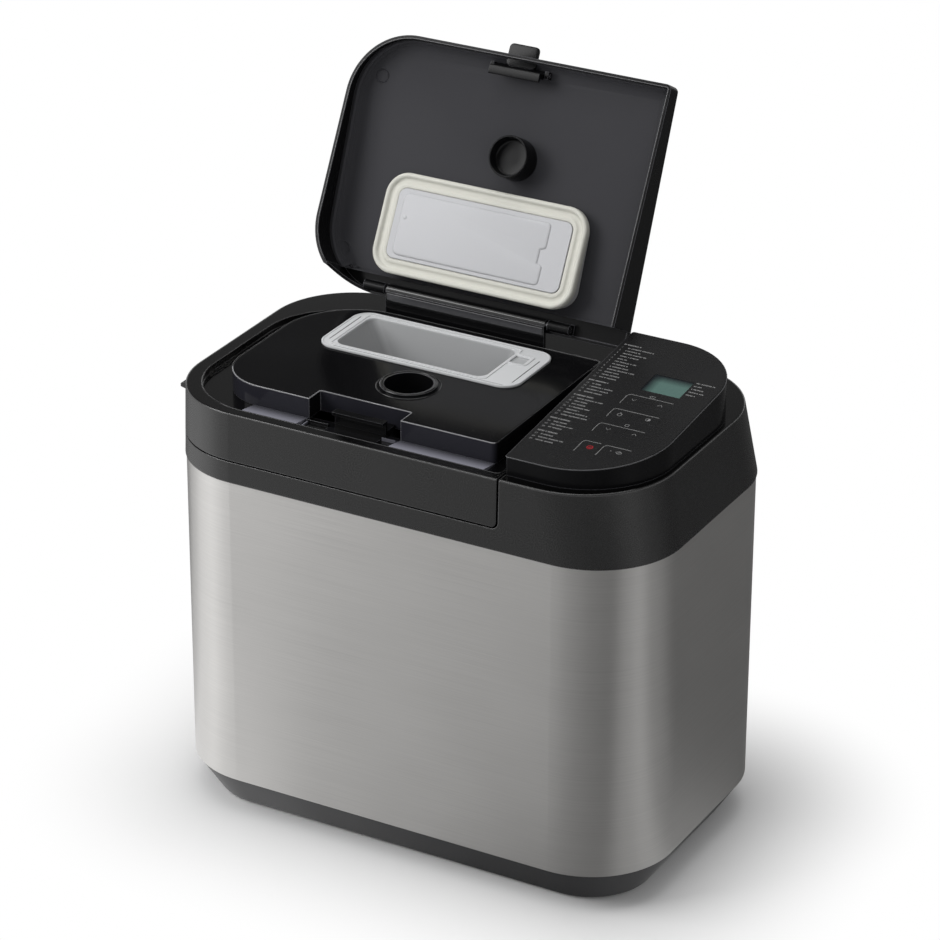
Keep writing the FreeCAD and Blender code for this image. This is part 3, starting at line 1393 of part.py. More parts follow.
def motor_body():
    flange = turned("motor_collar", "motor_x", "motor_flange", CHASSIS_TOP,
                    CHASSIS_TOP + " + motor_flange_height")
    can = turned("motor_can", "motor_x", "motor_radius", CHASSIS_TOP, CHASSIS_TOP + " + motor_height")
    bore = turned("motor_bore", "motor_x", "shaft_radius + shaft_fit", CHASSIS_TOP,
                  CHASSIS_TOP + " + motor_bore_depth")
    node("motor_body", cut("motor_piece", fuse("motor_solid", flange, can), bore))


def belt_loop(body, grow):
    """Loop round both pulleys: two arcs joined by their outer tangents."""
    drawing = sketch(body, "XY_Plane", "pulley_bottom + pulley_flange + belt_gap")
    big = num("large_pulley_radius + belt_gap + (%s)" % grow)
    small = num("small_pulley_radius + belt_gap + (%s)" % grow)
    x_big, x_small = num("oven_x"), num("motor_x")
    cosine = (big - small) / (x_small - x_big)
    sine = (1 - cosine * cosine) ** 0.5
    ends = [FreeCAD.Vector(x_big + big * cosine, big * sine, 0),
            FreeCAD.Vector(x_big + big * cosine, -big * sine, 0),
            FreeCAD.Vector(x_small + small * cosine, -small * sine, 0),
            FreeCAD.Vector(x_small + small * cosine, small * sine, 0)]
    mids = [FreeCAD.Vector(x_big - big, 0, 0), FreeCAD.Vector(x_small + small, 0, 0)]
    drawing.addGeometry(Part.Arc(ends[0], mids[0], ends[1]))
    drawing.addGeometry(Part.LineSegment(ends[1], ends[2]))
    drawing.addGeometry(Part.Arc(ends[2], mids[1], ends[3]))
    drawing.addGeometry(Part.LineSegment(ends[3], ends[0]))
    for first, second, centre, radius in ((0, 3, "oven_x", "large_pulley_radius"),
                                          (2, 1, "motor_x", "small_pulley_radius")):
        dimension(drawing, "DistanceX", centre, -1, 1, first, 3)
        dimension(drawing, "DistanceY", "0", -1, 1, first, 3)
        dimension(drawing, "Radius", radius + " + belt_gap + (%s)" % grow, first)
    for first, end, second, start in ((0, 2, 1, 1), (1, 2, 2, 1), (2, 2, 3, 1), (3, 2, 0, 1)):
        drawing.addConstraint(Sketcher.Constraint("Tangent", first, end, second, start))
    return pad(body, drawing, "pulley_top - pulley_bottom - 2 * pulley_flange - 2 * belt_gap")


def drive_belt():
    outside = belt_loop(new_body("belt_outside"), "belt_thickness")
    inside = belt_loop(new_body("belt_inside"), "0")
    node("drive_belt", cut("belt_ring", outside, inside))


def kneading_blade():
    low = "pan_bottom + pan_wall + pan_hub_height + blade_gap"
    hub = turned("blade_hub", "oven_x", "blade_hub_radius", low, low + " + blade_hub_height")
    bore = turned("blade_bore", "oven_x", "shaft_radius + bush_fit", low, SHAFT_TOP + " + hole_clearance")
    paddle = plate("blade_paddle", "oven_x", "oven_x + blade_reach", "-blade_thickness / 2",
                   "blade_thickness / 2", low, low + " + blade_height", "blade_thickness * 0.4")
    node("kneading_blade", cut("blade_piece", fuse("blade_solid", hub, paddle), bore))


# Bread pan, its socket and handle

def pan_section(inset, spread, z):
    half_x = "(pan_width / 2 - (%s) - (%s))" % (spread, inset)
    half_y = "(pan_depth / 2 - (%s) - (%s))" % (spread, inset)
    return ("oven_x - " + half_x, "oven_x + " + half_x, "-" + half_y, half_y, "pan_corner - (%s)" % inset,
            z)


def side_blocks(name, near, far, half, low, high):
    """A block on the left and on the right of the pan's axis."""
    return [block(name + "_right", "oven_x + (%s)" % near, "oven_x + (%s)" % far, "-(%s)" % half, half, low,
                  high),
            block(name + "_left", "oven_x - (%s)" % far, "oven_x - (%s)" % near, "-(%s)" % half, half, low,
                  high)]


def bread_pan():
    """Drawn shell with a rolled rim and a hub for the shaft."""
    outside = loft("pan_outside", pan_section("0", "pan_taper", "pan_bottom"),
                   pan_section("0", "0", "pan_top"))
    inside = loft("pan_inside", pan_section("pan_wall", "pan_taper", "pan_bottom + pan_wall"),
                  pan_section("pan_wall", "0", "pan_top"))
    rim_low = "pan_top - pan_rim_height"
    rim_out = plate("pan_rim_out", *pan_section("-pan_rim", "0", "")[:4], rim_low, "pan_top",
                    "pan_corner + pan_rim")
    rim_in = plate("pan_rim_in", *pan_section("pan_wall", "0", "")[:4], rim_low, "pan_top",
                   "pan_corner - pan_wall")
    hub_top = "pan_bottom + pan_wall + pan_hub_height"
    hub = turned("pan_hub", "oven_x", "pan_hub_radius", "pan_bottom", hub_top)
    shaft_hole = turned("pan_shaft_hole", "oven_x", "shaft_radius + shaft_fit", "pan_bottom", hub_top)
    shell = cut("pan_shell", outside, inside)
    rim = cut("pan_rim_ring", rim_out, rim_in)
    node("bread_pan", cut("pan_drilled", fuse("pan_whole", shell, rim, hub), shaft_hole))


def pan_fittings():
    """Cast foot with two bayonet lugs under the pan, and the two ears of its handle on the rim."""
    ring = cut("pan_ring",
               turned("pan_ring_out", "oven_x", "pan_ring_outer", "pan_ring_bottom", "pan_bottom"),
               turned("pan_ring_in", "oven_x", "pan_ring_inner", "pan_ring_bottom", "pan_bottom"))
    lug_low = OVEN_FLOOR + " + socket_height + pan_lug_gap"
    lugs = side_blocks("pan_lug", "pan_ring_outer - pan_wall", "pan_lug_reach", "pan_lug_width / 2",
                       lug_low, lug_low + " + pan_lug_height")
    ears = side_blocks("pan_ear", "pan_width / 2 - pan_wall", "pan_width / 2 - pan_wall + ear_width",
                       "ear_depth / 2", "pan_top", "pan_top + ear_height")
    hole = rod("pan_ear_hole", X_AXIS, "oven_x - pan_width", "0", "pan_top + handle_rise",
               "handle_wire + handle_fit", "2 * pan_width")
    foot = fuse("pan_foot", ring, *lugs)
    node("pan_fittings", cut("pan_fittings_cut", group("pan_fitting_group", foot, *ears), hole))


def pan_socket():
    top = OVEN_FLOOR + " + socket_height"
    ring = cut("socket_ring", turned("socket_out", "oven_x", "socket_outer", OVEN_FLOOR, top),
               turned("socket_in", "oven_x", "socket_inner", OVEN_FLOOR, top))
    high = top + " + hook_height"
    stems = side_blocks("hook_stem_bar", "hook_stem", "hook_outer", "hook_width / 2", top, high)
    lips = side_blocks("hook_lip_bar", "hook_lip", "hook_stem", "hook_width / 2",
                       high + " - hook_lip_height", high)
    node("pan_socket", fuse("socket_piece", ring, *stems, *lips))


def pan_handle():
    """Bail that lies over the pan, its two ends in the ears."""
    z = "pan_top + handle_rise"
    ear_out = "(pan_width / 2 - pan_wall + ear_width)"
    arm = "(%s + 2 * handle_wire)" % ear_out
    stub = "(%s + ear_width - pan_wall + hole_clearance)" % "2 * handle_wire"
    pieces = [rod("bail_arm_right", Y_AXIS, "oven_x + " + arm, "0", z, "handle_wire", "handle_length"),
              rod("bail_arm_left", Y_AXIS, "oven_x - " + arm, "0", z, "handle_wire", "handle_length"),
              rod("bail_grip", X_AXIS, "oven_x - " + arm, "handle_length", z, "handle_wire", "2 * " + arm),
              rod("bail_stub_right", X_AXIS, "oven_x + %s - %s" % (arm, stub), "0", z, "handle_wire", stub),
              rod("bail_stub_left", X_AXIS, "oven_x - " + arm, "0", z, "handle_wire", stub)]
    for side, sign in (("right", "+"), ("left", "-")):
        for end, y in (("pivot", "0"), ("grip", "handle_length")):
            ball = doc.addObject("Part::Sphere", "bail_corner_%s_%s" % (side, end))
            bind(ball, "Radius", "handle_wire")
            place(ball, "oven_x %s %s" % (sign, arm), y, z)
            pieces.append(ball)
    node("pan_handle", fuse("bail_piece", *pieces))


# Electrical pieces on the right

def power_board():
    left = "power_board_left"
    board = block("power_sheet", left, left + " + power_board_width", "power_board_y",
                  "power_board_y + board_thickness", CHASSIS_TOP, CHASSIS_TOP + " + power_board_height")
    transformer = block("power_transformer", "transformer_x", "transformer_x + transformer_width",
                        "power_board_y - transformer_depth", "power_board_y", "transformer_z",
                        "transformer_z + transformer_height")
    node("power_board", group("power_group", board, transformer))


outside_of_band = band_solid("band_trim")

for make in (base_skirt, rubber_feet, base_screws, chassis_plate, steel_wrap, cord_gland, top_frame,
             lid_hinge_pins, lid_frame, lid_deck, front_sill, hinge_rail, lift_tab, lid_liner, lid_seal,
             dispenser_box, dispenser_flap, yeast_chamber, yeast_valve, dispenser_pins, lid_solenoids,
             latch_catch, cover_shell, lid_gasket, gasket_carrier, cover_plate, yeast_plug, cover_pins,
             lid_latch, panel_housing, panel_film, display_module, key_board, key_switches, keys,
             oven_chamber, divider_plate, heater_element, heater_clips, temperature_sensor,
             bearing_housing, shaft_bush, drive_shaft, large_pulley, motor_pulley, motor_body, drive_belt,
             kneading_blade, bread_pan, pan_fittings, pan_socket, pan_handle, power_board):
    make()

doc.recompute()
failed = [thing.Label for thing in doc.Objects if "Invalid" in thing.State or "Error" in thing.State]
if failed:
    raise RuntimeError("not built: " + ", ".join(failed))
for name, thing in NODES.items():
    if thing.Shape.isNull() or not thing.Shape.isValid() or not thing.Shape.Solids:
        raise RuntimeError("no valid solid: " + name)

os.makedirs("parts", exist_ok=True)
for name, thing in NODES.items():
    thing.Shape.exportStep("parts/%s.step" % name)
    box = thing.Shape.BoundBox
    print("%-20s %d solids %10.0f mm3  x %7.1f %7.1f  y %7.1f %7.1f  z %7.1f %7.1f" % (
        name, len(thing.Shape.Solids), thing.Shape.Volume, box.XMin, box.XMax, box.YMin, box.YMax, box.ZMin,
        box.ZMax))
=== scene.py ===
import json
import math

import bmesh
import bpy
import numpy as np
from bpy.props import FloatProperty, FloatVectorProperty, PointerProperty
from mathutils import Matrix, Vector


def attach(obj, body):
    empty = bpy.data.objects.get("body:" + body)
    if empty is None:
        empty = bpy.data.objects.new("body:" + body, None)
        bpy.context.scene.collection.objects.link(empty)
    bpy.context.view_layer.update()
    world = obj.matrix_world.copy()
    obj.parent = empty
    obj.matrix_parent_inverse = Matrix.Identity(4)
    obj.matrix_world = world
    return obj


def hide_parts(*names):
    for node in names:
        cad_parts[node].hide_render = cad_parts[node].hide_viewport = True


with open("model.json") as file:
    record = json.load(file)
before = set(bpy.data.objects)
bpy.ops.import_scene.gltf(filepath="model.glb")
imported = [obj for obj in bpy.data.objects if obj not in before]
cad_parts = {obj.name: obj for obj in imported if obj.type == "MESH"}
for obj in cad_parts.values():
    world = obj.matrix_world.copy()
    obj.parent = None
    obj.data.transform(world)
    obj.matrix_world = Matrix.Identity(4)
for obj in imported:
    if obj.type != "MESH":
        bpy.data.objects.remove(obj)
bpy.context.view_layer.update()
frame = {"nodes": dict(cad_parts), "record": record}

bl_info = {
    "name": "Bread Machine Finish",
    "version": (1, 0, 0),
    "blender": (4, 5, 0),
    "location": "3D View > Sidebar > Bread Machine",
    "description": "Finishes and small surface pieces of a bread machine with its dispenser lid open",
    "category": "Object",
}

NODES = frame["nodes"]
MM = 0.001

# Places in millimetres: lid hinge, panel slope, tops of deck and flange, middle of the yeast chamber
HINGE_Y, HINGE_Z, OPEN_ANGLE = 78.0, 361.0, math.radians(118.2)
PANEL_FRONT, PANEL_TOP, PANEL_SLOPE = -112.0, 350.0, 0.0998
DECK_TOP, FLANGE_TOP = 346.0, 347.5
YEAST = (-30.7, -36.5)

# Angles in degrees up to which neighbouring faces are shaded as one, and the reach in metres of the merge
PLAIN_SMOOTH, ROUND_SMOOTH = 35.0, 60.0
MERGE_REACH = 1e-7


# Shapes: whole arrays of points, in millimetres until they become a mesh

def rounded_path(x0, x1, y0, y1, radii, steps=10):
    """Closed path round a rectangle: each corner is a quarter circle, centre plus radius times (cos, sin)."""
    r = np.broadcast_to(np.asarray(radii, float), (4,))
    centre = np.array([[x0 + r[0], y0 + r[0]], [x1 - r[1], y0 + r[1]], [x1 - r[2], y1 - r[2]],
                       [x0 + r[3], y1 - r[3]]])
    angle = np.array([2, 3, 0, 1])[:, None] * np.pi / 2 + np.linspace(0, np.pi / 2, steps)[None]
    turn = np.stack([np.cos(angle), np.sin(angle)], -1)
    return (centre[:, None] + r[:, None, None] * turn).reshape(-1, 2)


def eased_path(corners, cut, steps=6):
    """Closed path through corners, each corner a parabola that leaves its two sides at a distance of cut."""
    p = np.asarray(corners, float)
    ahead = np.roll(p, -1, 0) - p
    ahead /= np.linalg.norm(ahead, axis=1)[:, None]
    behind = np.roll(ahead, 1, 0)
    t = np.linspace(0, 1, steps)[None, :, None]
    start = (p - behind * cut)[:, None]
    end = (p + ahead * cut)[:, None]
    return ((1 - t) ** 2 * start + 2 * t * (1 - t) * p[:, None] + t ** 2 * end).reshape(-1, 2)


def ring_path(x, y, radius, steps=64):
    """Closed circle: centre plus radius times (cos, sin) of a full turn."""
    angle = np.arange(steps) * 2 * np.pi / steps
    return np.stack([x + radius * np.cos(angle), y + radius * np.sin(angle)], 1)


def outward(path):
    """Unit normals of a closed path that turns left: the chord over each point, turned to the right."""
    chord = np.roll(path, -1, 0) - np.roll(path, 1, 0)
    normal = np.stack([chord[:, 1], -chord[:, 0]], 1)
    return normal / np.linalg.norm(normal, axis=1)[:, None]


def carried(path, profile):
    """Profile of (reach, height) carried round a path: path plus normal times reach, at that height."""
    reach, height = np.asarray(profile, float).T
    flat = path[None] + outward(path)[None] * reach[:, None, None]
    return np.concatenate([flat, np.broadcast_to(height[:, None, None], flat.shape[:2] + (1,))], -1)


def stacked(paths, heights):
    """Rings of equal count laid at their heights, one over the other."""
    return np.stack([np.column_stack([p, np.full(len(p), h)]) for p, h in zip(paths, heights)])


def along(points, profile):
    """Profile of (reach, height) carried along an open path, square to its chords."""
    p = np.asarray(points, float)
    chord = np.gradient(p, axis=0)
    side = np.stack([-chord[:, 1], chord[:, 0]], 1)
    side /= np.linalg.norm(side, axis=1)[:, None]
    reach, height = np.asarray(profile, float).T
    flat = p[:, None] + side[:, None] * reach[None, :, None]
    return np.concatenate([flat, np.broadcast_to(height[None, :, None], flat.shape[:2] + (1,))], -1)


def stroke(points, width, low, high):
    """Rectangle of a line's width and height carried along an open path."""
    half = 0.5 * width
    return along(points, [(half, low), (-half, low), (-half, high), (half, high)])


def round_profile(radius, reach, height):
    """Circle of (reach, height) for a thin rounded edge."""
    return ring_path(reach, height, radius, 10)


def extruded(section, x0, x1):
    """Closed section of (y, z) carried straight along X."""
    s = np.asarray(section, float)
    return np.stack([np.column_stack([np.full(len(s), x), s]) for x in (x0, x1)])


def swung_open(points):
    """Points of the closed dispenser lid turned about its hinge to where it stands open."""
    p = np.array(points, float)
    y, z = p[..., 1] - HINGE_Y, p[..., 2] - HINGE_Z
    p[..., 1] = HINGE_Y + y * math.cos(OPEN_ANGLE) + z * math.sin(OPEN_ANGLE)
    p[..., 2] = HINGE_Z - y * math.sin(OPEN_ANGLE) + z * math.cos(OPEN_ANGLE)
    return p


def slope_height(y, drop=0.0):
    """Height of the panel's plane at y, less a drop."""
    return PANEL_TOP + (y - PANEL_FRONT) * PANEL_SLOPE - drop


def on_panel(points):
    """Points whose height is over the panel's plane, moved on to that plane and along its normal."""
    p = np.array(points, float)
    lean = math.atan(PANEL_SLOPE)
    lift = p[..., 2].copy()
    p[..., 2] = slope_height(p[..., 1]) + lift * math.cos(lean)
    p[..., 1] -= lift * math.sin(lean)
    return p


def skin(rings, loop=False):
    """Points and blocks of faces of rings joined one to the next, with capped ends, or joined in a loop."""
    count, around = rings.shape[:2]
    index = np.arange(count * around).reshape(count, around)
    low = index if loop else index[:-1]
    high = np.roll(index, -1, 0) if loop else index[1:]
    quads = np.stack([low, np.roll(low, -1, 1), np.roll(high, -1, 1), high], -1).reshape(-1, 4)
    caps = [] if loop else [index[:1, ::-1], index[-1:]]
    return rings.reshape(-1, 3), [quads] + caps


def placed(name, data):
    """New object of some data, linked to the scene."""
    thing = bpy.data.objects.new(name, data)
    bpy.context.scene.collection.objects.link(thing)
    return thing


def piece(name, skins, body, finish, smooth=PLAIN_SMOOTH, slot=None, replaces=()):
    """One object of several closed skins: placed in metres, faces turned outwards, on its body.
    The slot argument is not used."""
    slot = slot or finish
    first = np.cumsum([0] + [len(points) for points, _ in skins])
    faces = [face for start, (_, blocks) in zip(first, skins) for block in blocks
             for face in (block + start).tolist()]
    mesh = bpy.data.meshes.new(name)
    mesh.from_pydata((np.concatenate([points for points, _ in skins]) * MM).tolist(), [], faces)
    if mesh.validate():
        raise RuntimeError("bad faces in " + name)
    shell = bmesh.new()
    shell.from_mesh(mesh)
    bmesh.ops.remove_doubles(shell, verts=shell.verts, dist=MERGE_REACH)
    bmesh.ops.recalc_face_normals(shell, faces=shell.faces)
    shell.to_mesh(mesh)
    shell.free()
    mesh.shade_smooth()
    mesh.set_sharp_from_angle(angle=math.radians(smooth))
    mesh.materials.append(FINISHES[finish])
    thing = placed(name, mesh)
    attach(thing, body)
    if replaces:
        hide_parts(*replaces)


# Nodes: small makers that give back the socket to link on

def add(tree, kind, inputs=None, **settings):
    """New node with its settings, and with a link or a plain value on each named input."""
    node = tree.nodes.new(kind)
    for key, value in settings.items():
        setattr(node, key, value)
    for key, value in (inputs or {}).items():
        socket = node.inputs[key]
        if isinstance(value, bpy.types.NodeSocket):
            tree.links.new(value, socket)
        else:
            socket.default_value = value
    return node


def blend(tree, share, first, second, **settings):
    """Colour between two colours, by a share."""
    node = add(tree, "ShaderNodeMix", {0: share, 6: first, 7: second}, data_type="RGBA", **settings)
    return node.outputs[2]


def between(tree, share, first, second):
    """Number between two numbers, by a share."""
    return add(tree, "ShaderNodeMix", {0: share, 2: first, 3: second}).outputs[0]


def ranged(tree, value, low, high, to_low=0.0, to_high=1.0, kind="LINEAR"):
    """Value carried from one range to another and held inside it."""
    node = add(tree, "ShaderNodeMapRange", {"Value": value, "From Min": low, "From Max": high,
                                            "To Min": to_low, "To Max": to_high}, interpolation_type=kind)
    return node.outputs[0]


def worked(tree, operation, first, second):
    """Result of one operation on two numbers."""
    return add(tree, "ShaderNodeMath", {0: first, 1: second}, operation=operation).outputs[0]


def parted(tree, vector):
    """X, Y and Z of a vector."""
    return add(tree, "ShaderNodeSeparateXYZ", {0: vector}).outputs


def noise(tree, vector, scale, detail, rough=0.5):
    """Value of plain noise."""
    return add(tree, "ShaderNodeTexNoise", {"Vector": vector, "Scale": scale, "Detail": detail,
                                            "Roughness": rough}).outputs[0]


def own_normal(tree):
    """X, Y and Z of the flat normal in the piece's own space, so that it turns with the piece."""
    flat = add(tree, "ShaderNodeNewGeometry")
    own = add(tree, "ShaderNodeVectorTransform", {0: flat.outputs["True Normal"]}, vector_type="NORMAL",
              convert_from="WORLD", convert_to="OBJECT")
    return parted(tree, own.outputs[0])


def group_tree(name, inputs):
    """Empty group and its inputs: a number with its value, or a vector where no value is given."""
    tree = bpy.data.node_groups.new(name, "ShaderNodeTree")
    for label, value in inputs.items():
        kind = "NodeSocketVector" if value is None else "NodeSocketFloat"
        socket = tree.interface.new_socket(label, in_out="INPUT", socket_type=kind)
        if value is not None:
            socket.default_value = value
    return tree, tree.nodes.new("NodeGroupInput").outputs


def put_out(tree, **values):
    """Outputs of a group by label, each of its source's kind and linked to it."""
    for label, value in values.items():
        kind = "NodeSocketVector" if value.type == "VECTOR" else "NodeSocketFloat"
        tree.interface.new_socket(label, in_out="OUTPUT", socket_type=kind)
    end = tree.nodes.new("NodeGroupOutput")
    for label, value in values.items():
        tree.links.new(value, end.inputs[label])
    return tree


def grain_group():
    """Moulded surface: fine noise for the height, the mean of fine and broad noise for the tone."""
    tree, given = group_tree("moulded_grain", {"Vector": None, "Scale": 900.0})
    fine = noise(tree, given["Vector"], given["Scale"], 3.0)
    broad = noise(tree, given["Vector"], 14.0, 2.0)
    tone = worked(tree, "MULTIPLY", worked(tree, "ADD", fine, broad), 0.5)
    return put_out(tree, Tone=tone, Height=fine)


def brushed_group():
    """Brushing: noise stretched along the sheet, close-set up and down."""
    tree, given = group_tree("sheet_brushing", {"Vector": None, "Along": 9.0, "Across": 2600.0})
    scale = add(tree, "ShaderNodeCombineXYZ", {"X": given["Along"], "Y": given["Along"],
                                               "Z": given["Across"]})
    stretch = add(tree, "ShaderNodeVectorMath", {0: given["Vector"], 1: scale.outputs[0]},
                  operation="MULTIPLY")
    lines = noise(tree, stretch.outputs[0], 1.0, 4.0, 0.65)
    broad = noise(tree, given["Vector"], 7.0, 2.0)
    return put_out(tree, Tone=between(tree, 0.25, lines, broad), Height=lines)


def edge_group():
    """Eased edge: the normal rounded over a radius, and a mask of how far it turned."""
    tree, given = group_tree("eased_edge", {"Radius": 0.0008})
    bevel = add(tree, "ShaderNodeBevel", {"Radius": given["Radius"]}, samples=6).outputs[0]
    flat = add(tree, "ShaderNodeNewGeometry").outputs["Normal"]
    turn = add(tree, "ShaderNodeVectorMath", {0: bevel, 1: flat}, operation="DOT_PRODUCT")
    return put_out(tree, Normal=bevel, Edge=ranged(tree, turn.outputs["Value"], 0.98, 0.80))


GROUPS = {}


def placed_group(tree, maker, inputs):
    """Outputs of a group that is made once and placed with its own values."""
    if maker not in GROUPS:
        GROUPS[maker] = maker()
    return add(tree, "ShaderNodeGroup", inputs, node_tree=GROUPS[maker]).outputs


# Finishes

RELIEF = 0.0001      # depth of every grain, in metres
# Eased edges take on a lighter colour: a painted highlight.
EDGE_HIGHLIGHT_SHARE = 0.85    # how far an eased edge takes on its lighter colour


def shade(colour, factor):
    """Colour made lighter or darker, with full alpha."""
    return tuple(min(1.0, c * factor) for c in colour[:3]) + (1.0,)


def new_shader(name):
    material = bpy.data.materials.new(name)
    material.use_nodes = True
    tree = material.node_tree
    coords = add(tree, "ShaderNodeTexCoord").outputs["Object"]
    return material, tree, tree.nodes["Principled BSDF"], coords


def settle(shader, values):
    """Plain values on the shader's own sockets."""
    for socket, value in values.items():
        shader.inputs[socket].default_value = value


def surface(tree, shader, source, colour, rough, tone, spread, bump, edge, edge_highlight):
    """Tone to Base Color and Roughness, a painted highlight on eased edges, height to Bump over the eased
    normal; gives back all three.
    """
    tint = blend(tree, source["Tone"], shade(colour, 1 - tone), shade(colour, 1 + tone))
    eased = placed_group(tree, edge_group, {"Radius": edge})
    # Painted highlight: the colour is lightened on eased edges.
    painted_highlight_share = worked(tree, "MULTIPLY", eased["Edge"], EDGE_HIGHLIGHT_SHARE)
    lit = blend(tree, painted_highlight_share, tint, shade(colour, edge_highlight))
    polish = ranged(tree, source["Tone"], 0.3, 0.7, rough - spread, rough + spread)
    relief = add(tree, "ShaderNodeBump", {"Height": source["Height"], "Strength": bump, "Distance": RELIEF,
                                          "Normal": eased["Normal"]})
    tree.links.new(lit, shader.inputs["Base Color"])
    tree.links.new(polish, shader.inputs["Roughness"])
    tree.links.new(relief.outputs[0], shader.inputs["Normal"])
    return lit, polish, relief


def grained(name, colour, rough, tone, spread, grain, bump, edge, edge_highlight):
    """New finish with moulded grain, its nodes, and what feeds its colour, polish and relief."""
    material, tree, shader, coords = new_shader(name)
    source = placed_group(tree, grain_group, {"Vector": coords, "Scale": grain})
    made = surface(tree, shader, source, colour, rough, tone, spread, bump, edge, edge_highlight)
    return material, tree, shader, coords, made


def moulded(name, colour, rough, tone=0.12, spread=0.04, grain=900.0, bump=0.1, edge=0.0008, edge_highlight=1.5,
            specular=0.5, coat=0.0, metallic=0.0):
    """Plastic, rubber, coated or cast surface with its own grain, polish, and eased edges with a painted
    highlight.
    """
    material, _, shader, _, _ = grained(name, colour, rough, tone, spread, grain, bump, edge, edge_highlight)
    settle(shader, {"Specular IOR Level": specular, "Coat Weight": coat, "Coat Roughness": 0.06,
                    "Metallic": metallic})
    return material


def brushed(name, colour, rough, tone=0.12, along=9.0, across=2600.0, aniso=0.7):
    """Brushed or drawn metal: stretched noise for tone, polish and relief, highlight drawn out across it, a
    faint painted highlight on edges.
    """
    material, tree, shader, coords = new_shader(name)
    source = placed_group(tree, brushed_group, {"Vector": coords, "Along": along, "Across": across})
    surface(tree, shader, source, colour, rough, tone, spread=0.05, bump=0.06, edge=0.0006, edge_highlight=1.15)
    settle(shader, {"Metallic": 1.0, "Anisotropic": aniso, "Anisotropic Rotation": 0.25})
    return material


def bin_finish(name, colour):
    """Smoky clear plastic of the bin: pale on the flange, painted shade inside, lighter painted shade on its
    back wall.
    """
    material, tree, shader, coords, (pale, _, _) = grained(
        name, colour, rough=0.42, tone=0.04, spread=0.04, grain=1600.0, bump=0.12, edge=0.0008,
        edge_highlight=1.1)
    flange, inside = 0.3470, 0.3455
    # Painted shade: darker below the flange, less dark on walls that face the front.
    depth = ranged(tree, parted(tree, coords)["Z"], flange, inside, kind="SMOOTHSTEP")
    side = ranged(tree, own_normal(tree)["Y"], -0.5, -0.9)
    wall = blend(tree, side, shade(colour, 0.42), shade(colour, 0.62))
    tree.links.new(blend(tree, depth, pale, wall), shader.inputs["Base Color"])
    return material


def band_finish(name, colour):
    """Textured band: grained on its upright sides, smooth and so darker on the faces that look up."""
    bump, flat_bump, flat_rough = 0.05, 0.01, 0.1
    material, tree, shader, _, (_, rough, relief) = grained(
        name, colour, rough=0.28, tone=0.15, spread=0.04, grain=1300.0, bump=bump, edge=0.0012,
        edge_highlight=32.0)
    up = ranged(tree, own_normal(tree)["Z"], 0.7, 0.95)
    tree.links.new(between(tree, up, rough, flat_rough), shader.inputs["Roughness"])
    tree.links.new(ranged(tree, up, 0.0, 1.0, bump, flat_bump), relief.inputs["Strength"])
    settle(shader, {"Specular IOR Level": 0.9})
    return material


def deck_finish(name, colour):
    """Polished deck: black on top, painted light making its upright front faces a bluish shade lighter,
    painted highlights on its thin edges.
    """
    material, tree, shader, _, (black, _, _) = grained(
        name, colour, rough=0.12, tone=0.12, spread=0.03, grain=900.0, bump=0.02, edge=0.0012,
        edge_highlight=55.0)
    # Painted light: faces turned to the front are lightened to a bluish grey.
    front = ranged(tree, own_normal(tree)["Y"], -0.2, -0.9)
    tint = blend(tree, front, black, (0.024, 0.024, 0.031, 1))
    tree.links.new(blend(tree, 1.0, black, tint, blend_type="LIGHTEN"), shader.inputs["Base Color"])
    settle(shader, {"Specular IOR Level": 0.08})
    return material


def sill_finish(name, colour):
    """Polished sloping strip: a painted highlight along its front edge, deepening to painted shade towards
    the deck.
    """
    material, tree, shader, coords, (pale, _, _) = grained(
        name, colour, rough=0.2, tone=0.08, spread=0.03, grain=800.0, bump=0.03, edge=0.0005, edge_highlight=2.0)
    # Painted highlight at the front edge, fading to painted shade towards the deck.
    corners = np.array(NODES["front_sill"].bound_box)[:, 1]
    depth = ranged(tree, parted(tree, coords)["Y"], float(corners.min()), float(corners.max()),
                   kind="SMOOTHSTEP")
    tree.links.new(blend(tree, depth, pale, shade(colour, 0.22)), shader.inputs["Base Color"])
    settle(shader, {"Coat Weight": 0.3})
    return material


def display_finish(name, colour):
    """Display behind its cover: pale field that fades to dark towards its back and left edges."""
    material, tree, shader, coords = new_shader(name)
    place = parted(tree, coords)
    across = ranged(tree, place["X"], 0.1345, 0.1425)
    ahead = ranged(tree, place["Y"], 0.0325, 0.0235)
    field = worked(tree, "MULTIPLY", across, ahead)
    grain = placed_group(tree, grain_group, {"Vector": coords, "Scale": 1500.0})
    soft = blend(tree, grain["Tone"], shade(colour, 0.9), shade(colour, 1.1))
    tree.links.new(blend(tree, field, (0.012, 0.014, 0.018, 1), soft), shader.inputs["Base Color"])
    settle(shader, {"Roughness": 0.22, "Specular IOR Level": 0.25})
    return material


# Settings that a user would change

def colour_setting(label, text, value):
    return FloatVectorProperty(name=label, description=text, default=value, size=3, subtype="COLOR", min=0,
                               max=1)


def length_setting(label, text, value):
    return FloatProperty(name=label, description=text, default=value, min=0.0, unit="LENGTH")


def power_setting(label, text, value):
    return FloatProperty(name=label, description=text, default=value, min=0.0, subtype="POWER", unit="POWER")


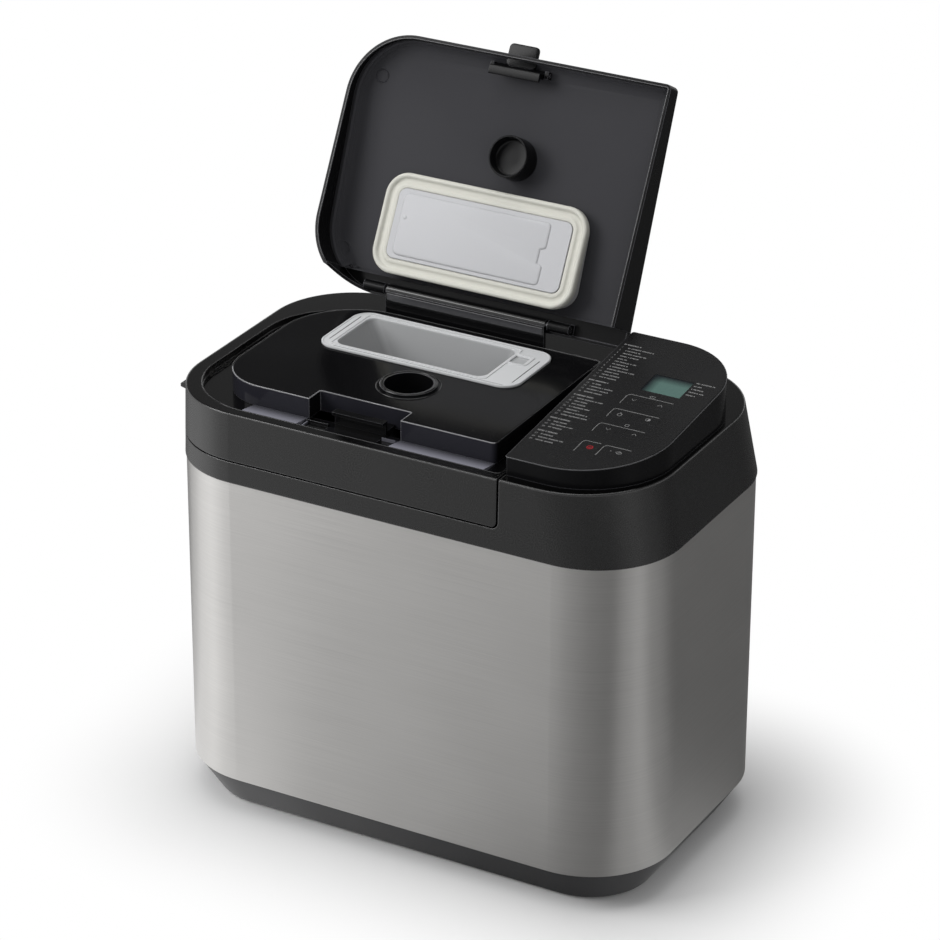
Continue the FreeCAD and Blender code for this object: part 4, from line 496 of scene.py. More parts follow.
class BreadMachineColours(bpy.types.PropertyGroup):
    steel: colour_setting("Steel", "Brushed casing sheet", (0.66, 0.65, 0.635))
    band: colour_setting("Band", "Textured black band and main lid frame", (0.002, 0.002, 0.0021))
    gloss: colour_setting("Gloss", "Deck, panel housing, dispenser lid and latch", (0.005, 0.005, 0.0055))
    lining: colour_setting("Lining", "Inside of the dispenser lid", (0.041, 0.041, 0.046))
    base: colour_setting("Base", "Base skirt", (0.032, 0.032, 0.034))
    bin: colour_setting("Bin", "Dispenser bin and its flange", (0.68, 0.69, 0.70))
    gasket: colour_setting("Gasket", "Silicone gasket of the dispenser lid", (0.69, 0.685, 0.62))
    plate: colour_setting("Plate", "Cover plate inside the gasket", (0.56, 0.565, 0.585))
    sill: colour_setting("Sill", "Sloping strips before the deck", (0.34, 0.34, 0.40))
    display: colour_setting("Display", "Lit field of the display", (0.105, 0.185, 0.165))
    print: colour_setting("Print", "Marks on the panel", (0.27, 0.27, 0.27))
    stop: colour_setting("Stop", "Mark of the stop key", (0.36, 0.014, 0.022))


class BreadMachineSizes(bpy.types.PropertyGroup):
    lip_height: length_setting("Lip height", "Raised lip round the bin's mouth", 0.0005)
    emboss_height: length_setting("Emboss height", "Raised field of the cover plate", 0.0007)
    rib_height: length_setting("Rib height", "Ribs on the bin's flap", 0.0011)
    line_width: length_setting("Line width", "Printed lines on the panel", 0.00045)
    mark_size: length_setting("Mark size", "Height of the printed numbers", 0.0024)


class BreadMachineStage(bpy.types.PropertyGroup):
    key_power: power_setting("Key", "Soft lamp at the front left", 36.0)
    fill_power: power_setting("Fill", "Soft lamp at the front right", 9.0)
    top_power: power_setting("Top", "Wide lamp over the object", 20.0)
    ambient: FloatProperty(name="Ambient", description="Light from all round on rough surfaces", default=0.28,
                           min=0.0, max=1.0, subtype="FACTOR")
    lens: FloatProperty(name="Lens", description="Focal length of the camera", default=153.78, min=10.0,
                        unit="CAMERA")


FINISHES = {}
DRESSED = set()

# Finishes: a colour or the name of its setting, the roughness, and what differs from the maker's usual values
# Where an edge lightness is given, it sets the painted highlight on eased edges.
FILM = (0.0165, 0.0165, 0.017), 0.28, dict(tone=0.06, bump=0.01, edge=0.0001, edge_highlight=4.0, specular=0.25)
TRIM = dict(tone=0.1, bump=0.02, edge=0.0001)
MOULDED = {
    "base_plastic": ("base", 0.5, dict(bump=0.25, grain=1400.0, edge=0.0012)),
    "foot_rubber": ((0.02, 0.02, 0.02), 0.8, dict(bump=0.4, grain=700.0)),
    "panel_gloss": ("gloss", 0.2, dict(bump=0.02, edge=0.0013, edge_highlight=40.0, specular=0.12)),
    "film_gloss": FILM,
    "key_gloss": FILM,
    "lid_plastic": ("gloss", 0.24, dict(bump=0.04, edge=0.0011, edge_highlight=34.0, specular=0.16)),
    "hinge_plastic": ("gloss", 0.14, dict(bump=0.03, edge=0.0007, edge_highlight=24.0, coat=0.3)),
    "latch_plastic": ("gloss", 0.24, dict(bump=0.03, edge=0.0006, edge_highlight=14.0, specular=0.2)),
    "gasket_silicone": ("gasket", 0.55, dict(tone=0.04, bump=0.15, grain=1100.0, edge_highlight=1.06)),
    "carrier_plastic": ((0.5, 0.5, 0.5), 0.45, dict(tone=0.05)),
    "plate_plastic": ("plate", 0.42, dict(tone=0.035, bump=0.08, edge_highlight=1.1)),
    "board_laminate": ((0.05, 0.22, 0.1), 0.4, dict(bump=0.2, grain=500.0)),
    "switch_plastic": ((0.06, 0.06, 0.06), 0.5, {}),
    "heater_sheath": ((0.11, 0.10, 0.09), 0.5, dict(tone=0.35, metallic=0.7)),
    "pan_coating": ((0.055, 0.055, 0.058), 0.36, dict(tone=0.2, bump=0.25, grain=700.0, metallic=0.35)),
    "blade_coating": ((0.06, 0.06, 0.063), 0.34, dict(tone=0.2, bump=0.25, metallic=0.35)),
    "socket_cast": ((0.55, 0.55, 0.56), 0.42, dict(tone=0.15, bump=0.5, grain=450.0, metallic=1.0)),
    "bush_bronze": ((0.5, 0.34, 0.17), 0.38, dict(tone=0.2, metallic=1.0)),
    "pulley_plastic": ((0.62, 0.61, 0.56), 0.45, dict(tone=0.06)),
    "belt_rubber": ((0.015, 0.015, 0.015), 0.7, dict(bump=0.5, grain=500.0)),
    "coil_plastic": ((0.22, 0.12, 0.05), 0.4, dict(tone=0.3, grain=300.0)),
    "gland_plastic": ((0.02, 0.02, 0.02), 0.5, dict(bump=0.3)),
    "lid_lining": ("lining", 0.55, dict(tone=0.06, bump=0.12, grain=1500.0, specular=0.12)),
    "panel_print": ("print", 0.5, dict(tone=0.08, edge=0.0001, specular=0.2)),
    "stop_mark": ("stop", 0.45, dict(tone=0.1, edge=0.0001, specular=0.2)),
    # Grey bead finish, polished: its grey is a painted sheen on black edges.
    "polished_edge": ((0.055, 0.055, 0.059), 0.16, dict(TRIM, coat=0.5)),
    # Pale bead finish: a painted highlight along edges.
    "bright_edge": ((0.22, 0.22, 0.23), 0.2, dict(TRIM, coat=0.5)),
    "smoky_plastic": ((0.045, 0.045, 0.05), 0.2, dict(TRIM, coat=0.3)),
    "slit_shadow": ((0.03, 0.03, 0.032), 0.7, dict(tone=0.1, edge=0.0001, specular=0.1)),
}
BRUSHED = {
    "casing_steel": ("steel", 0.33, dict(tone=0.17, across=1700.0, aniso=0.8)),
    "chassis_steel": ((0.5, 0.5, 0.5), 0.42, dict(along=30.0, across=700.0)),
    "fastener_steel": ((0.6, 0.6, 0.62), 0.25, dict(across=900.0)),
    "oven_sheet": ((0.6, 0.6, 0.6), 0.34, dict(along=40.0, across=420.0, aniso=0.4)),
    "sensor_metal": ((0.66, 0.5, 0.27), 0.3, dict(across=1200.0)),
    "handle_wire": ((0.64, 0.64, 0.65), 0.22, dict(across=1500.0)),
    "shaft_steel": ((0.58, 0.58, 0.6), 0.18, dict(across=3000.0)),
    "motor_steel": ((0.4, 0.41, 0.43), 0.36, dict(across=800.0)),
}
SPECIAL = {"band_plastic": (band_finish, "band"), "deck_gloss": (deck_finish, "gloss"),
           "sill_grey": (sill_finish, "sill"), "bin_plastic": (bin_finish, "bin"),
           "display_glass": (display_finish, "display")}


def make_finishes(colours):
    """All finishes by name, each with grain at its own scale."""
    for name, (maker, setting) in SPECIAL.items():
        FINISHES[name] = maker(name, getattr(colours, setting))
    for maker, table in ((moulded, MOULDED), (brushed, BRUSHED)):
        for name, (colour, rough, more) in table.items():
            colour = getattr(colours, colour) if isinstance(colour, str) else colour
            FINISHES[name] = maker(name, colour, rough, **more)


def dress(*names):
    """Give CAD nodes the finish of their material slot."""
    slots = {row["node"]: row["material_slot"] for row in frame["record"]["subparts"]}
    DRESSED.update(names)
    for name in names:
        mesh = NODES[name].data
        mesh.materials.clear()
        mesh.materials.append(FINISHES[slots[name]])


# Operators

class BREADMACHINE_OT_finishes(bpy.types.Operator):
    """Make every finish of the machine from the colours"""
    bl_idname = "bread_machine.finishes"
    bl_label = "Finishes"

    def execute(self, context):
        make_finishes(context.scene.bread_machine_colours)
        return {"FINISHED"}


class BREADMACHINE_OT_casing(bpy.types.Operator):
    """Finish the base, steel wrap, band and main lid frame, and shape the rubber feet"""
    bl_idname = "bread_machine.casing"
    bl_label = "Casing"

    def execute(self, context):
        dress("base_skirt", "steel_wrap", "top_frame", "lid_frame", "lift_tab", "cord_gland", "base_screws",
              "rubber_feet", "lid_hinge_pins")
        foot_x, foot_y, radius = 146.0, 70.0, 12.0
        inset = [2.2, 0.9, 0.2, 0.0, 0.0]
        height = [0.0, 0.15, 0.8, 1.6, 2.5]
        pads = [skin(stacked([ring_path(x, y, radius - i) for i in inset], height))
                for x in (-foot_x, foot_x) for y in (-foot_y, foot_y)]
        piece("rubber_pads", pads, "machine", "foot_rubber", replaces=("rubber_feet",))
        return {"FINISHED"}


class BREADMACHINE_OT_main_lid(bpy.types.Operator):
    """Finish the deck, sill, rail and lid underside, shape the lid seal, thin edges, notch and rail strips"""
    bl_idname = "bread_machine.main_lid"
    bl_label = "Main lid"

    def execute(self, context):
        dress("lid_deck", "front_sill", "lid_seal", "hinge_rail", "lid_liner", "lid_solenoids", "latch_catch",
              "dispenser_pins")
        self.edges()
        self.seal()
        self.strips()
        return {"FINISHED"}

    def edges(self):
        """Thin rounded edges: a small circle carried round the deck with its notch, and round the gutter."""
        deck = rounded_path(-165.0, 71.4, -91.0, 70.0, [40.0, 4.0, 4.0, 60.0], 16)
        notch = [(-82.0, -91.0), (-82.0, -90.0), (-82.0, -76.0), (-81.0, -75.0), (-7.0, -75.0), (-6.0, -76.0),
                 (-6.0, -90.0), (-6.0, -91.0)]
        front = np.concatenate([deck[5:16], notch, deck[16:24]])
        rear = np.concatenate([deck[23:], deck[:6]])
        # The deck's front edge is pale as a painted highlight; its rear edge stays dark.
        for name, path, finish in (("deck_edge", front, "bright_edge"),
                                   ("deck_rear_edge", rear, "hinge_plastic")):
            bead = skin(along(path, round_profile(0.5, 0.35, DECK_TOP - 0.35)))
            piece(name, [bead], "main_lid", finish, ROUND_SMOOTH, "deck_gloss")
        gutter = rounded_path(-187.0, 85.5, -112.0, 84.0, [60.0, 4.0, 4.0, 60.0], 16)
        bead = skin(carried(gutter, round_profile(0.5, 0.25, 334.75)), loop=True)
        piece("gutter_edge", [bead], "main_lid", "hinge_plastic", ROUND_SMOOTH, "band_plastic")

    def seal(self):
        """Seal under the lid: a low rounded profile carried round the liner's outline."""
        path = rounded_path(-161.0, 51.0, -96.0, 96.0, 20.0, 12)
        bulge = [(0.0, 298.4), (0.0, 297.4), (0.8, 296.8), (2.5, 296.72), (4.2, 296.8), (5.0, 297.4),
                 (5.0, 298.4)]
        piece("seal_ring", [skin(carried(path, bulge), loop=True)], "main_lid", "gasket_silicone",
              replaces=("lid_seal",))

    def strips(self):
        """Strips in the notch and on the hinge rail: small sections carried along X, and one thin line."""
        ledge = [(-97.2, 330.0), (-93.8, 330.0), (-93.8, 331.0), (-97.2, 332.6)]
        tongue = [(-110.5, 330.0), (-97.6, 330.0), (-97.6, 330.7), (-110.5, 331.6)]
        line = [(-79.6, -94.4), (-79.6, -105.0), (-78.0, -106.4), (-8.0, -106.4)]
        pale = [skin(stroke(line, 0.9, 330.0, 331.4)), skin(extruded(ledge, -18.0, -7.0))]
        piece("notch_line", pale, "main_lid", "sill_grey")
        band = [(73.25, 354.4), (73.6, 354.4), (73.6, 359.0), (73.25, 358.8)]
        rim = [(73.2, 359.3), (73.6, 359.3), (73.6, 359.8), (73.2, 359.8)]
        # The rail's top edge is pale as a painted highlight.
        for name, strip, finish in (("rail_band", band, "smoky_plastic"), ("rail_edge", rim, "bright_edge")):
            piece(name, [skin(extruded(strip, -112.6, 19.6))], "main_lid", finish, slot="hinge_plastic")
        dark = [skin(extruded(ledge, -80.5, -63.0)), skin(extruded(tongue, -62.0, -19.0))]
        piece("notch_strip", dark, "main_lid", "hinge_plastic")


class BREADMACHINE_OT_dispenser(bpy.types.Operator):
    """Finish the bin and yeast chamber, and add their lips, slits and flap ribs"""
    bl_idname = "bread_machine.dispenser"
    bl_label = "Dispenser bin"

    def execute(self, context):
        sizes = context.scene.bread_machine_sizes
        dress("dispenser_box", "dispenser_flap", "yeast_chamber", "yeast_valve")
        self.flange(FLANGE_TOP, sizes.lip_height / MM)
        self.ribs(sizes.rib_height / MM)
        rings = [skin(carried(ring_path(*YEAST, radius), round_profile(fat, 0.0, level)), loop=True)
                 for radius, fat, level in ((20.3, 0.8, 347.8), (23.6, 0.6, 345.9))]
        piece("yeast_lip", rings, "main_lid", "hinge_plastic", ROUND_SMOOTH)
        return {"FINISHED"}

    def flange(self, top, rise):
        """Lip round mouth and window and low border round the flange, profiles carried round their paths."""
        corners = [(-117.4, -2.9), (13.2, -2.9), (13.2, 31.2), (27.8, 31.2), (27.8, 47.8), (13.2, 47.8),
                   (13.2, 55.9), (-117.4, 55.9)]
        bead = [(-0.75, top), (-0.65, top + rise), (0.65, top + rise), (0.75, top)]
        lip = skin(carried(eased_path(corners, 3.0), bead), loop=True)
        rim = rounded_path(-126.6, 38.6, -7.1, 60.1, 13.2, 12)
        low = top + 0.4 * rise
        border = skin(carried(rim, [(-0.9, top), (-0.6, low), (0.4, low), (0.8, top)]), loop=True)
        piece("bin_lip", [lip, border], "main_lid", "bin_plastic", 40.0)
        well = rounded_path(13.5, 25.5, 33.5, 45.5, 0.8, 4)
        floor = skin(stacked([well, well], [DECK_TOP + 0.05, DECK_TOP + 0.2]))
        piece("window_floor", [floor], "main_lid", "bin_plastic")
        lines = (((-121.6, 4.0), (-121.6, 50.0), 0.7), ((33.6, 2.0), (33.6, 44.0), 0.7),
                 ((-113.0, -5.1), (30.0, -5.1), 0.3))
        slits = [skin(stroke([start, end], width, top - 0.01, top + 0.04)) for start, end, width in lines]
        piece("flange_slits", slits, "main_lid", "slit_shadow", slot="bin_plastic")

    def ribs(self, rise):
        """Ribs across the flap: a low arch of (x, z) carried straight along Y, at even steps."""
        arch = np.array([(-1.4, 0.0), (-0.7, 0.75 * rise), (0.0, rise), (0.7, 0.75 * rise), (1.4, 0.0)])
        front, back, base, step = 11.0, 42.0, 301.6, 8.5
        ribs = [skin(np.stack([np.column_stack([x + arch[:, 0], np.full(len(arch), y), base + arch[:, 1]])
                               for y in (front, back)])) for x in np.arange(-80.0, -2.0, step)]
        piece("flap_ribs", ribs, "bin_flap", "bin_plastic", ROUND_SMOOTH)


class BREADMACHINE_OT_dispenser_lid(bpy.types.Operator):
    """Finish the open lid: lining, gasket with its bead, embossed plate, plug and moulding marks"""
    bl_idname = "bread_machine.dispenser_lid"
    bl_label = "Dispenser lid"

    def execute(self, context):
        dress("dispenser_lid_shell", "lid_gasket", "gasket_carrier", "cover_plate", "yeast_plug",
              "dispenser_lid_pins")
        self.lining()
        self.plug_cup()
        self.rim_tail()
        self.rim_edge()
        self.gasket()
        self.plate(348.8, context.scene.bread_machine_sizes.emboss_height / MM)
        return {"FINISHED"}

    def lining(self):
        """Shallow dish under the lid: rings set in from the rim, each at its height under the slope.
        The lower face runs from the middle out, the upper one back in, and both are capped in the middle."""
        thickness, rear = 0.12, 69.5
        rings = []
        for inset, drop in ((0.15, 9.0), (0.5, 5.5), (1.6, 3.0), (3.4, 1.3), (6.0, 0.4), (9.0, 0.15)):
            flat = rounded_path(-172.5 + inset, 83.7 - inset, -108.5 + inset, 81.5 - inset,
                                [47.5 - inset, 0.6, 0.6, 47.5 - inset], 14)
            flat[:, 1] = np.minimum(flat[:, 1], rear - 0.3 * inset - 0.001 * np.arange(len(flat)))
            rings.append(np.column_stack([flat, slope_height(flat[:, 1], 2.5 + drop)]))
        dish = np.concatenate([np.stack(rings[::-1]), np.stack(rings) + (0.0, 0.0, thickness)])
        skins = [skin(swung_open(dish))]
        for x, y in ((-155.6, -77.7), (-161.0, 54.7)):
            mark = carried(ring_path(x, y, 4.9, 40), [(-0.35, 0.1), (-0.2, -0.18), (0.2, -0.18), (0.35, 0.1)])
            mark[..., 2] += slope_height(mark[..., 1], 2.72)
            skins.append(skin(swung_open(mark), loop=True))
        piece("lid_lining", skins, "dispenser_lid", "lid_lining", ROUND_SMOOTH, "lid_plastic")

    def plug_cup(self):
        """Cup turned about an upright axis: rings of the profile's radii at its heights, mouth down."""
        radii = [16.0, 16.0, 16.0, 15.8, 15.3, 14.8, 14.4, 14.2, 13.9, 13.4, 12.0, 4.0]
        heights = [355.6, 348.0, 338.2, 337.5, 337.1, 337.1, 337.5, 338.2, 345.0, 345.8, 346.0, 346.0]
        rings = stacked([ring_path(*YEAST, r, 72) for r in radii], heights)
        piece("plug_cup", [skin(swung_open(rings))], "dispenser_lid", "lid_plastic", 50.0,
              replaces=("yeast_plug",))

    def rim_tail(self):
        """End of the rim: upright rectangle carried round the corner's arc while its lower edge climbs."""
        centre_x, centre_y, inner, outer = -125.0, 34.0, 47.4, 49.9
        share = np.linspace(0, 1, 24)
        angle = np.radians(46.0 + 36.0 * share)
        low = 335.8 + 27.5 * share ** 0.7
        rings = []
        for reach, is_top in ((outer, False), (inner, False), (inner, True), (outer, True)):
            x, y = centre_x - reach * np.cos(angle), centre_y + reach * np.sin(angle)
            rings.append(np.column_stack([x, y, slope_height(y, 1.0) if is_top else low]))
        piece("rim_tail", [skin(swung_open(np.stack(rings, 1)))], "dispenser_lid", "lid_plastic")

    def rim_edge(self):
        """Thin rounded inner edge of the rim: a small circle carried along the rim from hinge to hinge."""
        side, hinge_end = 84.0, 69.0
        rim = rounded_path(-172.8, side, -108.8, 81.8, [47.8, 1.8, 1.8, 47.8], 16)
        rear = rim[48:]
        path = np.concatenate([rear[rear[:, 1] < hinge_end], rim[:32], [(side, hinge_end)]])
        edge = along(path, round_profile(0.5, 0.0, 335.95))
        # The rim edge's grey is a painted sheen.
        piece("rim_edge", [skin(swung_open(edge))], "dispenser_lid", "polished_edge", ROUND_SMOOTH,
              "lid_plastic")

    def gasket(self):
        """Gasket: a profile with a rolled outer bead and a step inside, carried round the plate."""
        path = rounded_path(-129.0, 41.0, -10.5, 66.5, 18.0, 14)
        profile = [(-0.3, 354.6), (0.0, 353.6), (0.0, 349.6), (-0.25, 348.7), (-0.9, 348.05), (-1.9, 347.82),
                   (-2.9, 348.05), (-3.6, 348.7), (-3.95, 349.7), (-4.5, 350.1), (-5.2, 350.2), (-7.3, 350.2),
                   (-7.8, 349.9), (-8.1, 349.5), (-8.6, 349.3), (-10.7, 349.3), (-11.3, 349.6),
                   (-11.5, 350.1), (-11.5, 350.6), (-2.1, 350.6), (-2.0, 354.6)]
        piece("gasket_bead", [skin(swung_open(carried(path, profile)), loop=True)], "dispenser_lid",
              "gasket_silicone", 50.0, replaces=("lid_gasket",))

    def plate(self, level, rise):
        """Raised field of the plate: a rounded edge carried round its outline, and a small round stud."""
        corners = [(-111.5, 5.5), (11.0, 5.5), (11.0, 23.0), (6.6, 24.6), (6.6, 36.4), (11.0, 38.0),
                   (11.0, 51.0), (-111.5, 51.0)]
        outline = eased_path(corners, np.array([5, 3, 0.8, 0.8, 0.8, 0.8, 3, 5])[:, None])
        field = [(1.1, level + 0.05), (1.0, level - 0.1), (0.4, level - 0.55 * rise),
                 (0.0, level - 0.9 * rise), (-0.6, level - rise)]
        stud = stacked([ring_path(-108.0, 23.0, r, 20) for r in (1.5, 1.3, 0.7)], [348.3, 347.95, 347.85])
        skins = [skin(swung_open(rings)) for rings in (carried(outline, field), stud)]
        piece("plate_field", skins, "dispenser_lid", "plate_plastic", 25.0)


class BREADMACHINE_OT_latch(bpy.types.Operator):
    """Shape the latch: rounded finger tab, eye, leg with a lipped toe and two small gussets"""
    bl_idname = "bread_machine.latch"
    bl_label = "Latch"

    def execute(self, context):
        dress("lid_latch")
        left, right, eye_y, eye_z, eye_radius = -61.5, -19.5, -101.0, 345.0, 3.0
        angle = np.linspace(-0.5 * np.pi, np.pi, 16)[3:13]
        eye = np.stack([eye_y + eye_radius * np.cos(angle), eye_z + eye_radius * np.sin(angle)], 1)
        leg = [(-104.0, 345.0), (-102.2, 342.0), (-101.0, 340.0), (-101.0, 335.2), (-100.4, 334.5),
               (-94.6, 334.5), (-94.0, 335.0), (-94.0, 336.5), (-94.5, 337.0), (-96.6, 337.0), (-97.0, 337.5),
               (-97.0, 342.2)]
        lever = extruded(eased_path(np.concatenate([leg, eye]), 0.3, 3), left, right)
        tab = eased_path([(-53.0, -120.0), (-28.0, -120.0), (-28.0, -103.0), (-53.0, -103.0)], 4.0, 8)
        normal = outward(tab)
        insets, heights = (0.9, 0.3, 0.0, 0.0, 0.3, 0.9), (342.6, 342.75, 343.2, 344.4, 344.85, 345.0)
        finger = stacked([tab - normal * i for i in insets], heights)
        gusset = [(-97.2, 337.0), (-94.6, 336.9), (-97.2, 340.6)]
        gussets = [extruded(gusset, x - 1.0, x + 1.0) for x in (-52.0, -31.0)]
        skins = [skin(swung_open(rings)) for rings in (lever, finger, *gussets)]
        piece("latch_lever", skins, "latch", "latch_plastic", 40.0, replaces=("lid_latch",))
        return {"FINISHED"}


# Print on the panel: heights over its plane, in millimetres

PRINT_LOW, PRINT_HIGH = -0.02, 0.05
NUMERAL_HALF = 0.02


def numeral_skin(text, x, y, size):
    """Outline of a plain number, made a thin solid mesh and laid on the panel, its left foot at x and y."""
    curve = bpy.data.curves.new("numeral", "FONT")
    curve.body = text
    curve.size = size
    curve.resolution_u = 2
    curve.extrude = NUMERAL_HALF
    holder = placed("numeral", curve)
    mesh = bpy.data.meshes.new_from_object(holder)
    points = np.empty(len(mesh.vertices) * 3)
    mesh.vertices.foreach_get("co", points)
    points = points.reshape(-1, 3) + (x, y, NUMERAL_HALF)
    mesh.calc_loop_triangles()
    faces = np.empty(len(mesh.loop_triangles) * 3, dtype=np.int32)
    mesh.loop_triangles.foreach_get("vertices", faces)
    bpy.data.objects.remove(holder)
    bpy.data.curves.remove(curve)
    bpy.data.meshes.remove(mesh)
    return on_panel(points), [faces.reshape(-1, 3)]


class BREADMACHINE_OT_key_panel(bpy.types.Operator):
    """Finish the panel, display and keys, and lay the printed lines, signs, numbers and ruled bars"""
    bl_idname = "bread_machine.key_panel"
    bl_label = "Key panel"

    def execute(self, context):
        sizes = context.scene.bread_machine_sizes
        keys = [name for name in NODES if name.startswith("key_")]
        dress("panel_housing", "panel_film", "display_module", *keys)
        hooks = ((129.0, 164.5, -14.0, 0.0), (129.0, 164.5, -34.4, -22.0), (129.0, 164.5, -56.5, -44.0),
                 (130.0, 143.5, -86.0, -70.0), (146.6, 167.0, -85.0, -70.0))
        skins = [self.mark(self.hook(*sides), sizes.line_width / MM) for sides in hooks]
        skins += self.list_rows(sizes.mark_size / MM)
        skins += [self.closed(rounded_path(144.9, 148.9, 1.4, 3.4, 0.8, 4), 0.35),
                  self.closed(ring_path(148.3, -40.2, 1.5, 20), 0.35)]
        piece("panel_lines", skins, "machine", "panel_print", slot="film_gloss")
        self.signs()
        # The panel's edge bead is grey as a painted sheen.
        top = rounded_path(90.0, 187.0, -112.0, 82.5, [2.0, 67.0, 55.0, 2.0], 16)
        bead = skin(on_panel(carried(top, round_profile(0.5, -0.25, -0.85))), loop=True)
        piece("panel_edge", [bead], "machine", "polished_edge", ROUND_SMOOTH, "panel_gloss")
        return {"FINISHED"}

    def mark(self, points, width):
        """Thin open line on the panel."""
        return skin(on_panel(stroke(points, width, PRINT_LOW, PRINT_HIGH)))

    def closed(self, path, width):
        """Thin closed line: a small rectangle carried round the path."""
        half = 0.5 * width
        section = [(-half, PRINT_LOW), (half, PRINT_LOW), (half, PRINT_HIGH), (-half, PRINT_HIGH)]
        return skin(on_panel(carried(path, section)), loop=True)

    def hook(self, left, right, front, back):
        """Left side and back side of a rectangle, its corner a quarter circle."""
        radius = 3.0
        angle = np.linspace(np.pi, np.pi / 2, 8)
        bend = np.stack([left + radius + radius * np.cos(angle), back - radius + radius * np.sin(angle)], 1)
        return np.concatenate([[(left, front)], bend, [(right, back)]])

    def dashes(self, x, y, length, width, seed):
        """Row of small blocks in groups: widths and gaps from sines of their order, cut at the row's end."""
        order = np.arange(30)
        wide = 0.75 + 0.3 * np.sin(seed * 1.7 + order * 2.4)
        gap = 0.36 + 0.7 * (np.sin(seed + order * 0.85) > 0.86)
        start = x + np.concatenate([[0.0], np.cumsum(wide + gap)[:-1]])
        keep = start + wide <= x + length
        return [self.mark([(a, y), (a + w, y)], width) for a, w in zip(start[keep], wide[keep])]

    def list_rows(self, size):
        """Column of plain numbers, each with a dashed bar, in five blocks from back to front."""
        number_x, bar_x, side_x = 93.5, 98.4, 166.6
        head_step, row_step, block_gap, side_step = 4.3, 4.1, 2.4, 4.4
        skins, number, y = [], 1, 62.0
        lengths = 15.0 + 5.0 * np.sin(np.arange(40) * 2.3) + 3.0 * np.sin(np.arange(40) * 0.9)
        for rows in (13, 5, 8, 4, 4):
            skins += self.dashes(number_x, y + 0.9, 18.0 - rows * 0.3, 1.5, rows)
            y -= head_step
            for _ in range(rows - 1):
                skins.append(numeral_skin(str(number), number_x, y - 0.2, size))
                skins += self.dashes(bar_x, y + 0.8, lengths[number], 1.2, number)
                number += 1
                y -= row_step
            y -= block_gap
        for i, length in enumerate((15.0, 7.0, 10.5, 12.0, 7.5)):
            skins += self.dashes(side_x, 33.0 - side_step * i, length, 1.2, i)
        return skins

    def signs(self):
        """Signs on the keys' own bodies: chevrons, small outlines, a red stop ring and a start diamond."""
        def chevron(x, y, way):
            return self.mark([(x - 1.7, y + 1.2 * way), (x, y - 1.2 * way), (x + 1.7, y + 1.2 * way)], 0.4)

        loaf = eased_path([(135.1, -30.4), (138.1, -30.4), (138.1, -27.4), (135.1, -27.4)], 0.8, 4)
        dial_x, dial_y = 158.2, -27.2
        disc = ring_path(dial_x, dial_y, 1.4, 24)
        half = np.concatenate([[(dial_x, dial_y - 1.4)], disc[19:], disc[:7]])
        diamond = np.array([(157.8, -75.9), (160.2, -77.8), (162.6, -75.9), (160.2, -74.0)])
        bar = [(159.2, -76.9), (161.2, -74.9)]
        rows = {
            "key_down_upper": [chevron(136.3, -6.5, 1)], "key_up_upper": [chevron(157.4, -6.1, -1)],
            "key_loaf_size": [self.closed(loaf, 0.4), self.mark([(135.9, -26.4), (137.3, -26.4)], 0.5)],
            "key_crust": [self.closed(ring_path(dial_x, dial_y, 1.7, 24), 0.35),
                          skin(on_panel(stacked([half, half], [PRINT_LOW, PRINT_HIGH])))],
            "key_down_lower": [chevron(138.2, -50.0, 1)], "key_up_lower": [chevron(158.8, -49.3, -1)],
            "key_start": [self.closed(eased_path(diamond, 0.4, 4), 0.4), self.mark(bar, 0.4),
                          self.mark([(153.4, -75.6), (154.3, -75.6)], 0.5)],
        }
        for key, skins in rows.items():
            piece(key.replace("key_", "sign_"), skins, key, "panel_print", slot="key_gloss")
        stop_x, stop_y = 138.3, -77.4
        across = np.linspace(-1.1, 1.1, 9)
        wave = np.stack([stop_x + across, stop_y + 0.5 * np.sin(across * 3.0)], 1)
        stop = [self.closed(ring_path(stop_x, stop_y, 2.1, 28), 0.7), self.mark(wave, 0.8)]
        piece("sign_stop", stop, "key_stop", "stop_mark", slot="key_gloss")


class BREADMACHINE_OT_insides(bpy.types.Operator):
    """Finish the oven, heater, pan, kneading drive and electrical pieces"""
    bl_idname = "bread_machine.insides"
    bl_label = "Insides"

    def execute(self, context):
        dress("chassis_plate", "oven_chamber", "divider_plate", "heater_element", "heater_clips",
              "temperature_sensor", "bearing_housing", "shaft_bush", "drive_shaft", "large_pulley",
              "motor_pulley", "motor_body", "drive_belt", "kneading_blade", "bread_pan", "pan_fittings",
              "pan_socket", "pan_handle", "power_board")
        return {"FINISHED"}


# Stage: metres, and degrees for directions

LAMP_TARGET = (0.0, 0.0, 0.2)
CAMERA_TARGET, CAMERA_REACH = (0.0, 0.0, 0.26986), 2.953907
CAMERA_AZIMUTH, CAMERA_ELEVATION, CAMERA_ROLL = 29.029843, 25.986638, 0.188092
# Painted light and shade on the floor, seen only in reflections, by direction from the machine: bright at the
# left, dim at the right
FLOOR_REFLECTION_GLOW = ((-180, 0.66), (-166, 0.95), (-150, 1.0), (-138, 0.76), (-118, 0.46), (-95, 0.36), (-75, 0.26),
               (-55, 0.17), (-38, 0.13), (-24, 0.30), (-12, 0.40), (4, 0.24), (35, 0.11), (80, 0.10),
               (130, 0.12), (158, 0.26), (180, 0.66))


